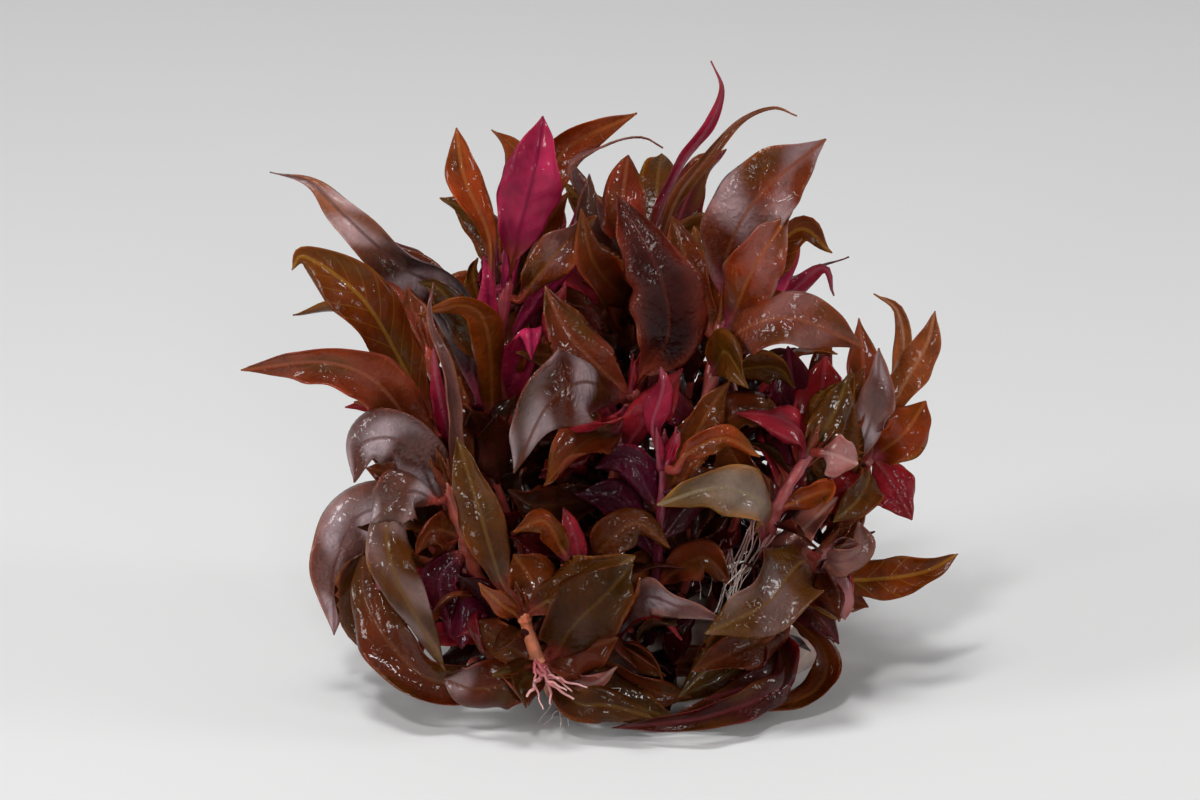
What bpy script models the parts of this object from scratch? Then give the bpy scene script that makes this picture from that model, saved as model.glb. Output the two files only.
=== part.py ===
# A clump of mini Alternanthera reineckii as it comes out of its growing cup: some
# sixteen plantlets on a lump of culture gel, with their leaves pressed round by the cup.
# Lengths in the tables are millimetres. The finished objects are in metres, +Z up,
# with the origin in the middle of the gel's underside, where the clump rests.

import math

import bmesh
import bpy
import numpy as np
from mathutils.bvhtree import BVHTree

MM = 0.001

# Where the clump is seen from: straight from the front and a little above
LOOK_DOWN = math.radians(18)
EYE_DISTANCE = 450.0
PICTURE_MIDDLE = (1.0, 27.6)
AIM_HEIGHT = 26.0

# Colours by eye, in wet leaves under a soft light
TONES = {
    "amber": "#A8582A",
    "russet": "#87402D",
    "magenta": "#AF2355",
    "olive": "#685426",
    "umber": "#582C20",
    "slate": "#604448",
    "lilac": "#96696E",
    "pink": "#C85A64",
    "cream": "#B4A076",
    "tan": "#B06E54",
    "rose": "#CD8C87",
    "ochre": "#966220",
    "plum": "#64262C",
    "brown": "#70381A",
}
STEM_COLOUR = "#A8483A"
ROOT_COLOUR = "#D8B4A6"
GEL_COLOUR = "#DCC6B4"

# Stems, leaves and roots
STEM_RADIUS = 0.8
LEAF_THICKNESS = 0.5
PETIOLE_WIDTH = 1.1
TIP_WIDTH = 0.35
ROOT_RADIUS = 0.4
GAP = 0.3
SMALLEST_HEIGHT = 0.35
LEAF_GRID = (5, 2)
YOUNG_GRID = (4, 1)
HIGHEST_GROWN_ON = 0.96

# The lump of gel: middle, half widths, height
GEL_MIDDLE = (9.5, 1.5)
GEL_HALF = (14.5, 10.5)
GEL_HEIGHT = 8.0

TOWARD = (0, 0, 1)
AWAY = (0, 0, -1)


def view_axes():
    """Across, up and toward the viewer, as directions of the plant's own frame."""
    sine, cosine = math.sin(LOOK_DOWN), math.cos(LOOK_DOWN)
    return np.array([[1, 0, 0], [0, sine, cosine], [0, -cosine, sine]], float)


def seen(across, up, toward):
    """The spot that shows at (across, up) in the front view and lies that far toward the viewer."""
    shrink = (EYE_DISTANCE - toward) / EYE_DISTANCE
    middle_across, middle_up = PICTURE_MIDDLE
    flat = np.array(
        [
            middle_across + (across - middle_across) * shrink,
            AIM_HEIGHT + (up - middle_up) * shrink,
            toward,
        ]
    )
    return flat @ view_axes()


def facing(direction):
    """A direction given as across, up and toward, as a unit direction of the plant's frame."""
    turned = np.array(direction, float) @ view_axes()
    return turned / np.linalg.norm(turned)


def gel_top(x, y):
    """Height of the gel over (x, y): a flat top that rounds off to its rim."""
    reach = math.hypot((x - GEL_MIDDLE[0]) / GEL_HALF[0], (y - GEL_MIDDLE[1]) / GEL_HALF[1])
    return GEL_HEIGHT * math.sqrt(max(0.0, 1 - min(reach, 1.0) ** 4))


def on_gel(x, y):
    """A stem's foot, standing just clear of the gel."""
    return np.array([x, y, gel_top(x, y) + STEM_RADIUS + 2 * GAP])


def leaf(at, path, wide, face=TOWARD, turn=0, twist=0, cup=12, broadest=0.5, sharp=0.85):
    """One leaf: where it leaves its stem (0 foot, 1 top), the places its midrib passes, its
    width, the way its upper side faces, and in degrees how it is turned, twisted and cupped."""
    return {
        "at": at,
        "path": [seen(*place) for place in path],
        "wide": wide,
        "face": facing(face),
        "turn": turn,
        "twist": twist,
        "cup": cup,
        "broadest": broadest,
        "sharp": sharp,
    }


# The plantlets of the front, left to right. "stem" is the line of the stem, "leaves" are the
# large leaves, and "young" the small ones that stay grown together with the stem.
SHOOTS = {
    "top": {
        "stem": [on_gel(-9, 4), seen(-9.5, 28, 9), seen(-8.2, 40, 13)],
        "leaves": {
            "magenta_upright": leaf(
                1.0, [(-7.4, 43.5, 15), (-5.6, 50.5, 18), (-4.7, 56, 17)], 6.2,
                AWAY, cup=-8, broadest=0.5,
            ),
            "amber_upright": leaf(
                0.97, [(-9.6, 44, 15), (-11.4, 50, 16), (-11.7, 55.1, 14)], 3.5,
                broadest=0.66, sharp=0.9,
            ),
            "amber_behind": leaf(1.0, [(-5.5, 46, 9), (-2.5, 52.5, 8), (4.7, 56.3, 9)], 4.2),
            "amber_right": leaf(0.95, [(-4.6, 42.6, 15), (-1.2, 47.5, 14)], 4.4, turn=20),
            "russet_curl": leaf(
                0.62, [(-14, 37.5, 9), (-19, 41, 11), (-24.5, 46, 11), (-28, 49.3, 9), (-32, 50.4, 7)],
                4.8, turn=-15, twist=-40, sharp=1.3, broadest=0.45,
            ),
            "brown_arch": leaf(
                0.6, [(-10.2, 34, 17), (-12.2, 37, 20), (-17.2, 36.2, 21)], 3.6,
                turn=10, cup=-15,
            ),
        },
        "young": [
            leaf(0.6, [(-8.2, 33, 16), (-7.6, 29.6, 18)], 3.8),
            leaf(0.6, [(-5.6, 34.6, 13), (-4.9, 38.4, 14)], 3.0, AWAY),
            leaf(0.65, [(-3.4, 33, 11), (0.6, 37.8, 10)], 5.0),
            leaf(1.0, [(-7.8, 50, 10), (-7.5, 54.5, 9), (-10.3, 58, 7)], 3.5, turn=25),
            leaf(0.7, [(-10.3, 40, 16), (-10.6, 43.2, 15.5)], 2.6, AWAY),
            leaf(0.75, [(-12, 39.5, 11), (-14, 41.3, 10)], 4.0, turn=-20),
            leaf(0.8, [(-11.8, 40, 12), (-11.4, 42.3, 12)], 3.2, turn=30),
            leaf(0.8, [(-3.5, 40, 13), (-2.2, 43, 12), (-1.3, 47, 11)], 2.7, AWAY, turn=30),
            leaf(0.55, [(-15.5, 39.5, 6), (-20.5, 44.3, 6)], 4.2, turn=-30),
        ],
    },
    "left": {
        "stem": [on_gel(-11.5, -3), seen(-13.3, 21.5, 13), seen(-16.5, 33, 15)],
        "leaves": {
            "ochre_broad": leaf(
                0.75, [(-19.2, 32, 17), (-23, 38, 20), (-28.4, 41.9, 18), (-29.8, 40.6, 17)],
                6.0, turn=8, broadest=0.55, cup=8,
            ),
            "russet_flat": leaf(
                0.55, [(-20, 28, 19), (-26, 31.3, 21), (-34.9, 30.6, 17)], 5.3,
                turn=-12, cup=14,
            ),
            "lilac_edge": leaf(0.42, [(-14.2, 30.5, 21), (-16, 36.5, 22), (-15.7, 40.3, 21)], 1.9, turn=40),
        },
        "young": [
            leaf(0.5, [(-12.4, 25, 14), (-10.6, 22, 17)], 4.4),
            leaf(0.65, [(-15.2, 29, 18), (-15.7, 33.2, 18)], 2.0, AWAY),
            leaf(0.3, [(-11, 16, 13), (-7.5, 17.5, 15)], 4.0),
            leaf(0.95, [(-20, 38, 12), (-26, 42.6, 11)], 4.0, AWAY, turn=30),
            leaf(0.45, [(-20, 26, 15), (-23.5, 27.2, 14)], 3.5),
        ],
    },
    "left_low": {
        "stem": [on_gel(-8, -8), seen(-12.5, 13.5, 17), seen(-14.4, 19.3, 20)],
        "leaves": {
            "slate_dome": leaf(
                0.85, [(-18.6, 23.2, 19.5), (-22.8, 23.4, 18), (-23.6, 19.4, 17.5)], 6.2,
                turn=-15, cup=-12,
            ),
            "slate_broad": leaf(
                0.95, [(-18.2, 18.4, 22.4), (-22, 15.2, 20.8)], 5.4,
                turn=10, cup=-12, sharp=0.8,
            ),
            "lilac_hanging": leaf(
                0.6, [(-21.5, 16.6, 13), (-25.2, 12, 11.5), (-25.6, 4.1, 10)], 6.4, turn=-12, cup=-12,
            ),
            "olive_curl": leaf(
                0.75, [(-19.4, 16.4, 21), (-19.9, 11, 23), (-15.8, 0.6, 20)], 4.5,
                turn=15, twist=-35, cup=-14,
            ),
        },
        "young": [
            leaf(0.35, [(-12.4, 8.8, 16), (-12.6, 3, 17)], 6.0, AWAY),
            leaf(0.45, [(-21.4, 12, 14), (-23.4, 7, 14.5), (-19.6, 0, 16)], 4.6),
            leaf(0.25, [(-14.6, 4.4, 17), (-15.6, 2.4, 17.5)], 2.6, AWAY),
            leaf(0.68, [(-15, 9.5, 17), (-14, 5, 18)], 4.2),
            leaf(0.5, [(-20, 9, 17), (-20.7, 6.5, 16)], 2.2, AWAY),
        ],
    },
    "front_low": {
        "stem": [seen(-4.5, 0.2, 18), seen(-5.7, 3, 20.5), seen(-6.7, 6.4, 22)],
        "leaves": {
            "olive_tall": leaf(
                1.0, [(-9, 9.8, 24), (-10.8, 15.6, 25.5), (-13.3, 23.9, 25)], 4.5,
                turn=-8, broadest=0.56,
            ),
            "olive_broad": leaf(
                0.3, [(-1.5, 5.2, 24), (1.6, 8.2, 25.5), (4.3, 11.2, 24)], 7.2,
                turn=12, cup=8,
            ),
            "umber_boat": leaf(
                0.05, [(-15, -0.6, 18.5), (-19.5, 2.6, 17.5), (-22.5, 7.6, 15.5), (-22.7, 12.6, 13.5)],
                5.8, turn=-10, cup=16,
            ),
            "umber_low": leaf(
                0.1, [(-8.5, -0.4, 21.5), (-12, -0.6, 20.5), (-14.4, 0.6, 18)], 5.4,
                cup=-10, sharp=0.7,
            ),
        },
        "young": [
            leaf(0.1, [(0, -0.8, 20.5), (2.7, 0.9, 21)], 2.0),
            leaf(0.2, [(-8.5, 3.2, 18), (-12, 5.5, 17)], 4.6),
            leaf(0.95, [(-9.3, 7.6, 23), (-11.7, 9.9, 23)], 2.1, turn=-20),
            leaf(0.95, [(-4.4, 7.4, 22.5), (-1.6, 8.6, 22), (4.6, 12, 21)], 5.5, turn=-10),
            leaf(0.15, [(-7.5, -1.2, 21.5), (-9.9, 0, 22.3)], 3.7),
            leaf(0.1, [(-1, -2.7, 20.5), (2.5, -3.1, 21.5), (6.7, -4.2, 21)], 3.7),
            leaf(0.9, [(-5.6, 8.8, 19.5), (-7.6, 12.2, 18.5)], 6.0),
        ],
    },
    "centre": {
        "stem": [on_gel(0, -9), seen(-0.5, 9.2, 15.5), seen(-1, 10.2, 18)],
        "leaves": {
            "amber_hook": leaf(
                1.0, [(-2.8, 12.6, 19.5), (-4.6, 15.5, 21), (-7.7, 14.4, 22)], 2.8,
                turn=15, cup=-10,
            ),
            "brown_dome": leaf(
                0.9, [(1, 12.6, 19.5), (4.6, 15.3, 21.5), (8, 12.8, 22)], 3.9,
                turn=-10, cup=-14,
            ),
            "lilac_band": leaf(0.2, [(5, 7.6, 19), (9, 6.9, 22), (13.8, 5.3, 21)], 3.7, turn=-15, cup=-12),
        },
        "young": [
            leaf(0.06, [(3.4, 2, 17), (7.6, 0, 18.5)], 4.6),
            leaf(0.3, [(-3.4, 5, 15), (-6.5, 4.4, 16.5)], 4.4),
            leaf(0.1, [(8, 1.4, 18.5), (11.2, -0.6, 19)], 3.6),
            leaf(0.5, [(-3.5, 8.6, 16), (-7, 9.4, 16)], 4.0),
            leaf(0.3, [(3.5, 9.5, 16), (8, 10.6, 16)], 4.4),
            leaf(0.97, [(-0.7, 13.6, 18.5), (-1.3, 17.1, 18)], 2.2, AWAY),
            leaf(0.3, [(5.4, 9.2, 19), (6.4, 12, 19.5)], 1.8, turn=50),
        ],
    },
    "pink": {
        "stem": [on_gel(6, -8), seen(7, 15, 17), seen(7.3, 21.5, 19)],
        "leaves": {
            "pink_upright": leaf(
                1.0, [(6.3, 25.2, 20), (7.3, 28.8, 21), (7.1, 30.9, 20.5)], 2.7,
                AWAY, turn=-15,
            ),
            "amber_small": leaf(
                0.97, [(10, 22.4, 20.5), (13.5, 23.8, 21.5), (17, 21.9, 22)], 2.7,
                turn=10, cup=-12,
            ),
        },
        "young": [
            leaf(0.8, [(11.6, 26, 15), (14, 29.5, 15)], 4.2),
            leaf(0.35, [(9.5, 12.8, 17), (13, 11, 18)], 4.0),
            leaf(0.75, [(4, 21.5, 17), (0.5, 20.8, 18)], 3.6, AWAY),
            leaf(0.97, [(8, 23, 19.6), (8.6, 24.5, 20)], 1.7),
            leaf(0.5, [(3, 17.5, 15), (-1.5, 18.2, 16)], 4.2, AWAY),
            leaf(0.6, [(11.5, 19, 16), (14.5, 20.4, 16)], 4.0, AWAY),
        ],
    },
    "middle": {
        "stem": [on_gel(1, -2), seen(2.5, 20, 12), seen(4.5, 29, 15)],
        "leaves": {
            "umber_tall": leaf(
                1.0, [(7.8, 34, 19), (7, 40, 21.5), (2.7, 48.1, 19)], 7.6,
                turn=-18, broadest=0.46, cup=10,
            ),
            "umber_glossy": leaf(
                0.95, [(-0.6, 29.4, 24.5), (-4.3, 27, 28), (-7.6, 20.3, 27)], 7.8,
                turn=-8, cup=-16, broadest=0.5, sharp=0.85,
            ),
        },
        "young": [
            leaf(0.7, [(6.5, 27, 17), (9.4, 31, 16)], 4.2, AWAY),
            leaf(0.7, [(-2, 31, 12), (-7.4, 32.4, 13)], 4.4),
            leaf(0.9, [(1.5, 28.6, 20.5), (6.4, 29.6, 21)], 4.7, AWAY),
            leaf(0.8, [(2, 25.5, 19), (-2.2, 23.4, 22.5)], 5.5),
            leaf(0.95, [(-2, 34, 17), (-4.5, 39, 16)], 4.8),
            leaf(0.8, [(-5.2, 33, 15), (-5.4, 38, 14)], 3.6, AWAY),
            leaf(0.5, [(-5, 17, 15), (-8.2, 18.6, 17)], 4.5),
        ],
    },
    "tall": {
        "stem": [on_gel(4, 5), seen(4, 30, 2), seen(5.4, 43, 5)],
        "leaves": {
            "pink_ribbon": leaf(
                1.0, [(7.1, 47.2, 6), (9.2, 51.4, 5), (12, 55.2, 4), (13.2, 58.6, 4), (12.1, 61.5, 3)],
                1.6, AWAY, turn=35, broadest=0.35,
            ),
            "tan_ribbon": leaf(
                0.97, [(8.6, 47.6, 9), (11.4, 51.4, 9), (14.6, 55.2, 9), (18.2, 56.8, 9), (20.7, 56, 9)],
                1.6, turn=40, broadest=0.35,
            ),
        },
        "young": [
            leaf(0.7, [(3.5, 38, 6), (0, 42.5, 5)], 4.6),
            leaf(0.7, [(8, 40, 6), (11, 44.6, 5)], 4.6),
            leaf(0.5, [(8, 33, 4), (12, 35, 4)], 4.4),
            leaf(0.5, [(0.5, 32.5, 4), (-3, 33.5, 4)], 4.4),
            leaf(0.97, [(-2, 50.4, 11), (1.5, 53, 12), (5, 53.9, 13), (7.3, 52.8, 13)], 2.3, turn=50),
            leaf(0.9, [(3.3, 46, 12), (3.8, 52.1, 12)], 4.7, AWAY, sharp=0.55, broadest=0.6),
            leaf(0.9, [(0, 46, 10), (0.4, 52.2, 9.5)], 3.8),
            leaf(0.8, [(0, 42, 14), (-1.4, 47.6, 15)], 5.0, turn=-20),
            leaf(0.8, [(0.6, 41, 10), (-0.8, 44.8, 11)], 4.5, AWAY),
            leaf(0.9, [(8.5, 45.4, 9), (10.4, 43.2, 10)], 3.2, turn=30),
        ],
    },
    "right_top": {
        "stem": [on_gel(9, -2), seen(11, 24, 13), seen(13.4, 36, 14)],
        "leaves": {
            "russet_rugose": leaf(
                1.0, [(13.8, 42.5, 16), (17, 48.2, 18.5), (23.6, 53.7, 16)], 7.4,
                turn=12, cup=8,
            ),
            "amber_fan": leaf(0.97, [(16.6, 41.2, 19), (20, 46.4, 18)], 5.6, turn=-10),
            "russet_long": leaf(
                0.85, [(15.6, 34.6, 20), (21, 35.8, 22.5), (27.9, 32.9, 20)], 6.0,
                turn=-14, sharp=0.85, cup=-8,
            ),
        },
        "young": [
            leaf(0.9, [(16.8, 37.5, 15), (20.5, 40, 15)], 4.6),
            leaf(0.6, [(15.6, 27, 15), (19, 26, 16)], 4.4),
            leaf(0.6, [(8, 27.5, 15), (6, 30.5, 16)], 3.6, AWAY),
            leaf(0.95, [(12, 40, 11), (13.6, 44.6, 9)], 3.6),
            leaf(0.8, [(13.6, 32.4, 19), (15.8, 28.8, 21)], 4.5),
            leaf(0.8, [(17, 31.2, 18), (19, 29.1, 19)], 3.5),
            leaf(0.97, [(20.3, 44.4, 11), (24.2, 42.3, 9.5)], 4.2, turn=20),
            leaf(0.9, [(20, 41, 12), (21.5, 44.6, 12)], 2.6, AWAY),
            leaf(0.8, [(22.5, 40.5, 8), (24.4, 38, 8)], 2.5, AWAY),
            leaf(0.9, [(9.5, 42, 13), (8.2, 46, 12)], 4.5),
        ],
    },
    "right": {
        "stem": [on_gel(14, -1), seen(22, 14.5, 8), seen(28.6, 22.6, 9)],
        "leaves": {
            "tan_kite": leaf(1.0, [(31, 28.4, 10), (33.6, 33, 10), (34.5, 36.5, 9)], 3.7, turn=-12),
            "lilac_pale": leaf(0.9, [(28.6, 27.5, 14), (28.9, 32.8, 14)], 3.9, turn=15),
            "olive_right": leaf(
                0.9, [(27.9, 19.8, 13), (26.8, 17.6, 15.5), (24.3, 15.4, 16)], 4.0,
                turn=-20,
            ),
        },
        "young": [
            leaf(0.5, [(26, 19, 10), (29.6, 17.2, 9)], 3.8),
            leaf(0.35, [(22.6, 15.6, 8), (27.5, 15.4, 6)], 4.2),
            leaf(0.6, [(22, 25, 10), (20.6, 30.4, 9)], 4.2),
            leaf(0.97, [(31.5, 24.4, 11), (33.6, 27.6, 10)], 5.2, turn=20),
            leaf(0.97, [(30, 19.6, 9), (32.2, 15.6, 9)], 4.3, AWAY),
            leaf(0.85, [(28.4, 30, 9), (28.6, 35.8, 8)], 4.0),
            leaf(0.8, [(31, 30.4, 7), (31, 36.4, 7), (28.5, 38.4, 8)], 2.5, turn=35),
            leaf(0.75, [(25, 27, 13), (27.6, 31.4, 12)], 6.0),
            leaf(0.6, [(24.5, 30, 7), (26.4, 35.4, 8)], 3.2, turn=20),
        ],
    },
    "right_mid": {
        "stem": [on_gel(15.5, -6), seen(18.4, 16, 15), seen(22, 22.5, 16.5)],
        "leaves": {
            "rose_white": leaf(1.0, [(24.2, 22.2, 19), (26.8, 21.2, 20)], 4.2, turn=10, cup=-10, sharp=0.8),
            "cream_broad": leaf(
                0.55, [(17, 17.4, 20.5), (12.5, 18.8, 23), (6.7, 17.1, 23)], 5.2,
                turn=5, cup=8,
            ),
        },
        "young": [
            leaf(0.75, [(21.8, 26.6, 12), (23.2, 31, 12)], 5.2, AWAY),
            leaf(0.3, [(20.6, 14.4, 17), (22.6, 16.6, 18.4)], 3.4),
            leaf(0.88, [(24, 25.8, 14), (25.2, 29.4, 12)], 3.8),
            leaf(0.5, [(20, 21.6, 14), (19.4, 25.6, 14)], 4.2, AWAY),
            leaf(0.97, [(20.8, 24.6, 18), (18, 26, 19), (14.5, 26.3, 18.5)], 4.2, AWAY, turn=25),
            leaf(0.68, [(24, 18.6, 18), (22.8, 16.4, 19)], 2.7),
            leaf(0.6, [(16, 22, 15), (15, 25, 16)], 5.5),
        ],
    },
    "right_low": {
        "stem": [on_gel(17, -5), seen(20.5, 9.5, 12.5), seen(23.5, 12.6, 13)],
        "leaves": {
            "olive_glossy": leaf(
                0.9, [(20.4, 10.8, 18.5), (17.5, 7.2, 22), (11.5, 4.2, 22)], 7.2,
                turn=-10, cup=10, broadest=0.45,
            ),
            "ochre_wavy": leaf(0.85, [(26.5, 9.6, 10.5), (33, 10.3, 9), (36.8, 12.2, 8)], 4.2, turn=-6),
            "plum_sweep": leaf(
                0.1, [(19.6, 0.2, 16), (17.5, -2, 19), (11, -4.2, 22), (2.2, -5.2, 21)], 3.3,
                turn=-10, cup=14,
            ),
        },
        "young": [
            leaf(0.3, [(16.5, 3.6, 14.5), (13, 1.4, 17), (8, -1, 18)], 5.4),
            leaf(0.2, [(23.4, 2.5, 11), (22.4, -1.5, 14), (16.5, -3.6, 18)], 3.2),
            leaf(0.3, [(22.4, 6, 9), (25.4, 1.6, 9)], 4.4),
            leaf(0.6, [(25, 8, 10), (28.6, 6.6, 9)], 4.0),
            leaf(0.97, [(25, 11.4, 16), (27.2, 12.6, 15), (26.8, 15.6, 14)], 3.5, turn=20),
            leaf(0.8, [(24.8, 8.6, 14), (25.5, 5.6, 13)], 3.8, AWAY),
            leaf(0.7, [(23.4, 7, 15), (25.2, 5.4, 15.5)], 2.2),
            leaf(0.4, [(24, 5.6, 11), (24.5, 3.2, 11)], 4.0),
            leaf(0.2, [(17, 7.6, 16), (13.8, 5.8, 18)], 1.8, AWAY),
        ],
    },
}

# Tufts of roots: the knot they grow from and the spots where they end
ROOTS = {
    "roots_front": {
        "knot": seen(-3, -1.4, 16.5),
        "tips": [
            seen(-2.6, -5, 19), seen(-0.6, -4.6, 20), seen(1.6, -4, 20.5), seen(2.6, -1.4, 19.5),
            seen(-4.8, -4.6, 18.5),
        ],
    },
    "roots_right": {
        "knot": seen(13.4, 12.8, 12.5),
        "tips": [
            seen(12.4, 5.6, 14.5), seen(13.6, 6.6, 15), seen(14.9, 5.2, 15), seen(11.4, 7.4, 14),
            seen(10.2, 9.6, 14.5),
        ],
    },
}

# The plantlets of the back follow one rule: (name, bearing behind the clump, height of its
# top, which of its leaves are large)
BACK_SHOOTS = [
    ("back_right", 25, 30.0, (6,)),
    ("back_middle_right", 66, 36.0, (6,)),
    ("back_middle_left", 108, 33.0, (5,)),
    ("back_left", 150, 30.0, (2,)),
]
BACK_LEAF_LENGTH = 15.5
BACK_LEAF_WIDTH = 5.2
BACK_NODES = 5


def back_shoot(number, bearing, height):
    """A plantlet behind the clump: its stem leans outward, with pairs of leaves, each pair
    turned from the one below it, drooping low on the stem and standing up at its top."""
    chance = np.random.default_rng(40 + number)
    outward = np.array([math.cos(math.radians(bearing)), math.sin(math.radians(bearing)), 0])
    upward = np.array([0, 0, 1.0])
    foot = on_gel(*(np.array([4.0, 2.0]) + outward[:2] * 7.5))
    top = outward * 15 + upward * height
    knee = foot * 0.45 + top * 0.55 + outward * 2.0
    leaves = []
    for node in range(BACK_NODES):
        share = node / (BACK_NODES - 1)
        for side in (-1, 1):
            spread = math.radians(side * (62 if node % 2 else 24) + chance.uniform(-9, 9))
            heading = np.array(
                [
                    outward[0] * math.cos(spread) - outward[1] * math.sin(spread),
                    outward[0] * math.sin(spread) + outward[1] * math.cos(spread),
                    0,
                ]
            )
            length = BACK_LEAF_LENGTH * (0.82 + 0.3 * share + chance.uniform(-0.08, 0.08))
            climb = -0.42 + 1.25 * share + chance.uniform(-0.08, 0.08)
            start = 0.22 + 0.76 * share
            origin = stem_point([foot, knee, top], start)
            run = heading * math.cos(climb) + upward * math.sin(climb)
            middle = origin + run * length * 0.55 + upward * length * 0.1
            tip = origin + run * length - upward * length * 0.06
            leaves.append(
                {
                    "at": start,
                    "path": [middle, tip],
                    "wide": BACK_LEAF_WIDTH * (0.9 + chance.uniform(-0.18, 0.18)),
                    "face": upward * 0.9 - heading * 0.25,
                    "turn": chance.uniform(-16, 16),
                    "twist": chance.uniform(-25, 25),
                    "cup": 14,
                    "broadest": 0.5,
                    "sharp": 0.85,
                }
            )
    return {"stem": [foot, knee, top], "all": leaves}


def smooth_line(points, shares):
    """Places at these shares of the length of one smooth curve through all the points."""
    points = np.array(points, float)
    ends = np.vstack([2 * points[0] - points[1], points, 2 * points[-1] - points[-2]])
    fine = np.linspace(0, 1, 17)[:, None]
    runs = []
    for p0, p1, p2, p3 in zip(ends, ends[1:], ends[2:], ends[3:]):
        runs.append(
            0.5 * (2 * p1 + (p2 - p0) * fine + (2 * p0 - 5 * p1 + 4 * p2 - p3) * fine**2
                   + (3 * p1 - p0 - 3 * p2 + p3) * fine**3)
        )
    line = np.vstack([run[:-1] for run in runs] + [points[-1:]])
    gone = np.concatenate([[0], np.cumsum(np.linalg.norm(np.diff(line, axis=0), axis=1))])
    wanted = np.asarray(shares) * gone[-1]
    return np.stack([np.interp(wanted, gone, line[:, axis]) for axis in range(3)], axis=1)


def stem_point(stem, share):
    """The place on a stem's middle line at this share of its length."""
    return smooth_line(stem, [share])[0]


def turned(vectors, axis, angle):
    """Vectors turned about an axis through the origin."""
    axis = axis / np.linalg.norm(axis)
    sine, cosine = math.sin(angle), math.cos(angle)
    vectors = np.asarray(vectors, float)
    along = np.outer(vectors @ axis, axis).reshape(vectors.shape)
    return vectors * cosine + np.cross(axis, vectors) * sine + along * (1 - cosine)


def ways_to_lie():
    """How far a leaf may be lifted, swung and rolled to lie clear of the others, least first."""
    ways = [
        (lift, swing, roll)
        for lift in range(-35, 36, 5)
        for swing in range(-24, 25, 6)
        for roll in range(-30, 31, 15)
    ]
    return sorted(ways, key=lambda way: (abs(way[0]) + 1.4 * abs(way[1]) + 0.35 * abs(way[2]), way))


def leaf_base(stem, entry, grown_on):
    """Where the leaf starts: inside the stem if it is grown on, and else just off the stem."""
    at = min(entry["at"], HIGHEST_GROWN_ON) if grown_on else entry["at"]
    root = stem_point(stem, at)
    out = entry["path"][0] - root
    if at < 0.99:
        along = stem_point(stem, min(1, at + 0.05)) - stem_point(stem, max(0, at - 0.05))
        along /= np.linalg.norm(along)
        out = out - along * (out @ along)
    out /= np.linalg.norm(out)
    return root + out * (STEM_RADIUS * 0.35 if grown_on else STEM_RADIUS + LEAF_THICKNESS + GAP)


def carried_along(path, face, shares):
    """Directions ahead and outward at these shares of the path. The outward one is set by the
    wanted face in the middle of the path and carried to both ends without turning about it."""
    steps = 32
    rib = smooth_line(path, np.linspace(0, 1, steps + 1))
    ahead = np.gradient(rib, axis=0)
    ahead /= np.linalg.norm(ahead, axis=1)[:, None]
    middle = ahead[steps // 2]
    start = face - middle * (middle @ face)
    if np.linalg.norm(start) < 0.35:
        start = np.array([0, 0, 1]) - middle * middle[2]
    normal = np.tile(start, (steps + 1, 1))
    for step in range(steps // 2 + 1, steps + 1):
        normal[step] = normal[step - 1] - ahead[step] * (ahead[step] @ normal[step - 1])
    for step in range(steps // 2 - 1, -1, -1):
        normal[step] = normal[step + 1] - ahead[step] * (ahead[step] @ normal[step + 1])
    normal /= np.linalg.norm(normal, axis=1)[:, None]
    places = np.linspace(0, 1, steps + 1)
    ahead, normal = (
        np.stack([np.interp(shares, places, field[:, axis]) for axis in range(3)], axis=1)
        for field in (ahead, normal)
    )
    ahead /= np.linalg.norm(ahead, axis=1)[:, None]
    normal -= ahead * (ahead * normal).sum(axis=1)[:, None]
    return ahead, normal / np.linalg.norm(normal, axis=1)[:, None]


def leaf_surface(base, entry, way, lengthwise, crosswise):
    """The leaf's middle surface as a grid of places, and the directions it faces there."""
    lift, swing, roll = (math.radians(angle) for angle in way)
    chord = entry["path"][-1] - base
    side = np.cross(chord, entry["face"])
    path = [base]
    for place in entry["path"]:
        path.append(base + turned(turned(place - base, side, lift), entry["face"], swing))
    face = turned(entry["face"], side, lift)
    share = np.linspace(0, 1, lengthwise + 1)
    rib = smooth_line(path, share)
    ahead, normal = carried_along(path, face, share)
    over = np.cross(ahead, normal)
    angle = roll + np.radians(entry["turn"] + entry["twist"] * (share - 0.5))[:, None]
    normal, over = (
        normal * np.cos(angle) + over * np.sin(angle),
        over * np.cos(angle) - normal * np.sin(angle),
    )
    full = np.sin(math.pi * share ** (math.log(0.5) / math.log(entry["broadest"]))) ** entry["sharp"]
    least = np.where(share < 0.5, PETIOLE_WIDTH, TIP_WIDTH)
    half = np.maximum(entry["wide"] * full, least)[:, None, None] / 2
    across = np.linspace(-1, 1, crosswise + 1)[None, :, None]
    bend = math.radians(entry["cup"]) * np.abs(across)
    grid = (
        rib[:, None, :]
        + over[:, None, :] * half * across * np.cos(bend)
        + normal[:, None, :] * half * np.abs(across) * np.sin(bend)
    )
    return grid, normal


def grid_faces(rows, columns):
    """Four-cornered faces of a grid that has this many rows and columns of points."""
    return [
        (r * columns + c, r * columns + c + 1, (r + 1) * columns + c + 1, (r + 1) * columns + c)
        for r in range(rows - 1)
        for c in range(columns - 1)
    ]


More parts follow.
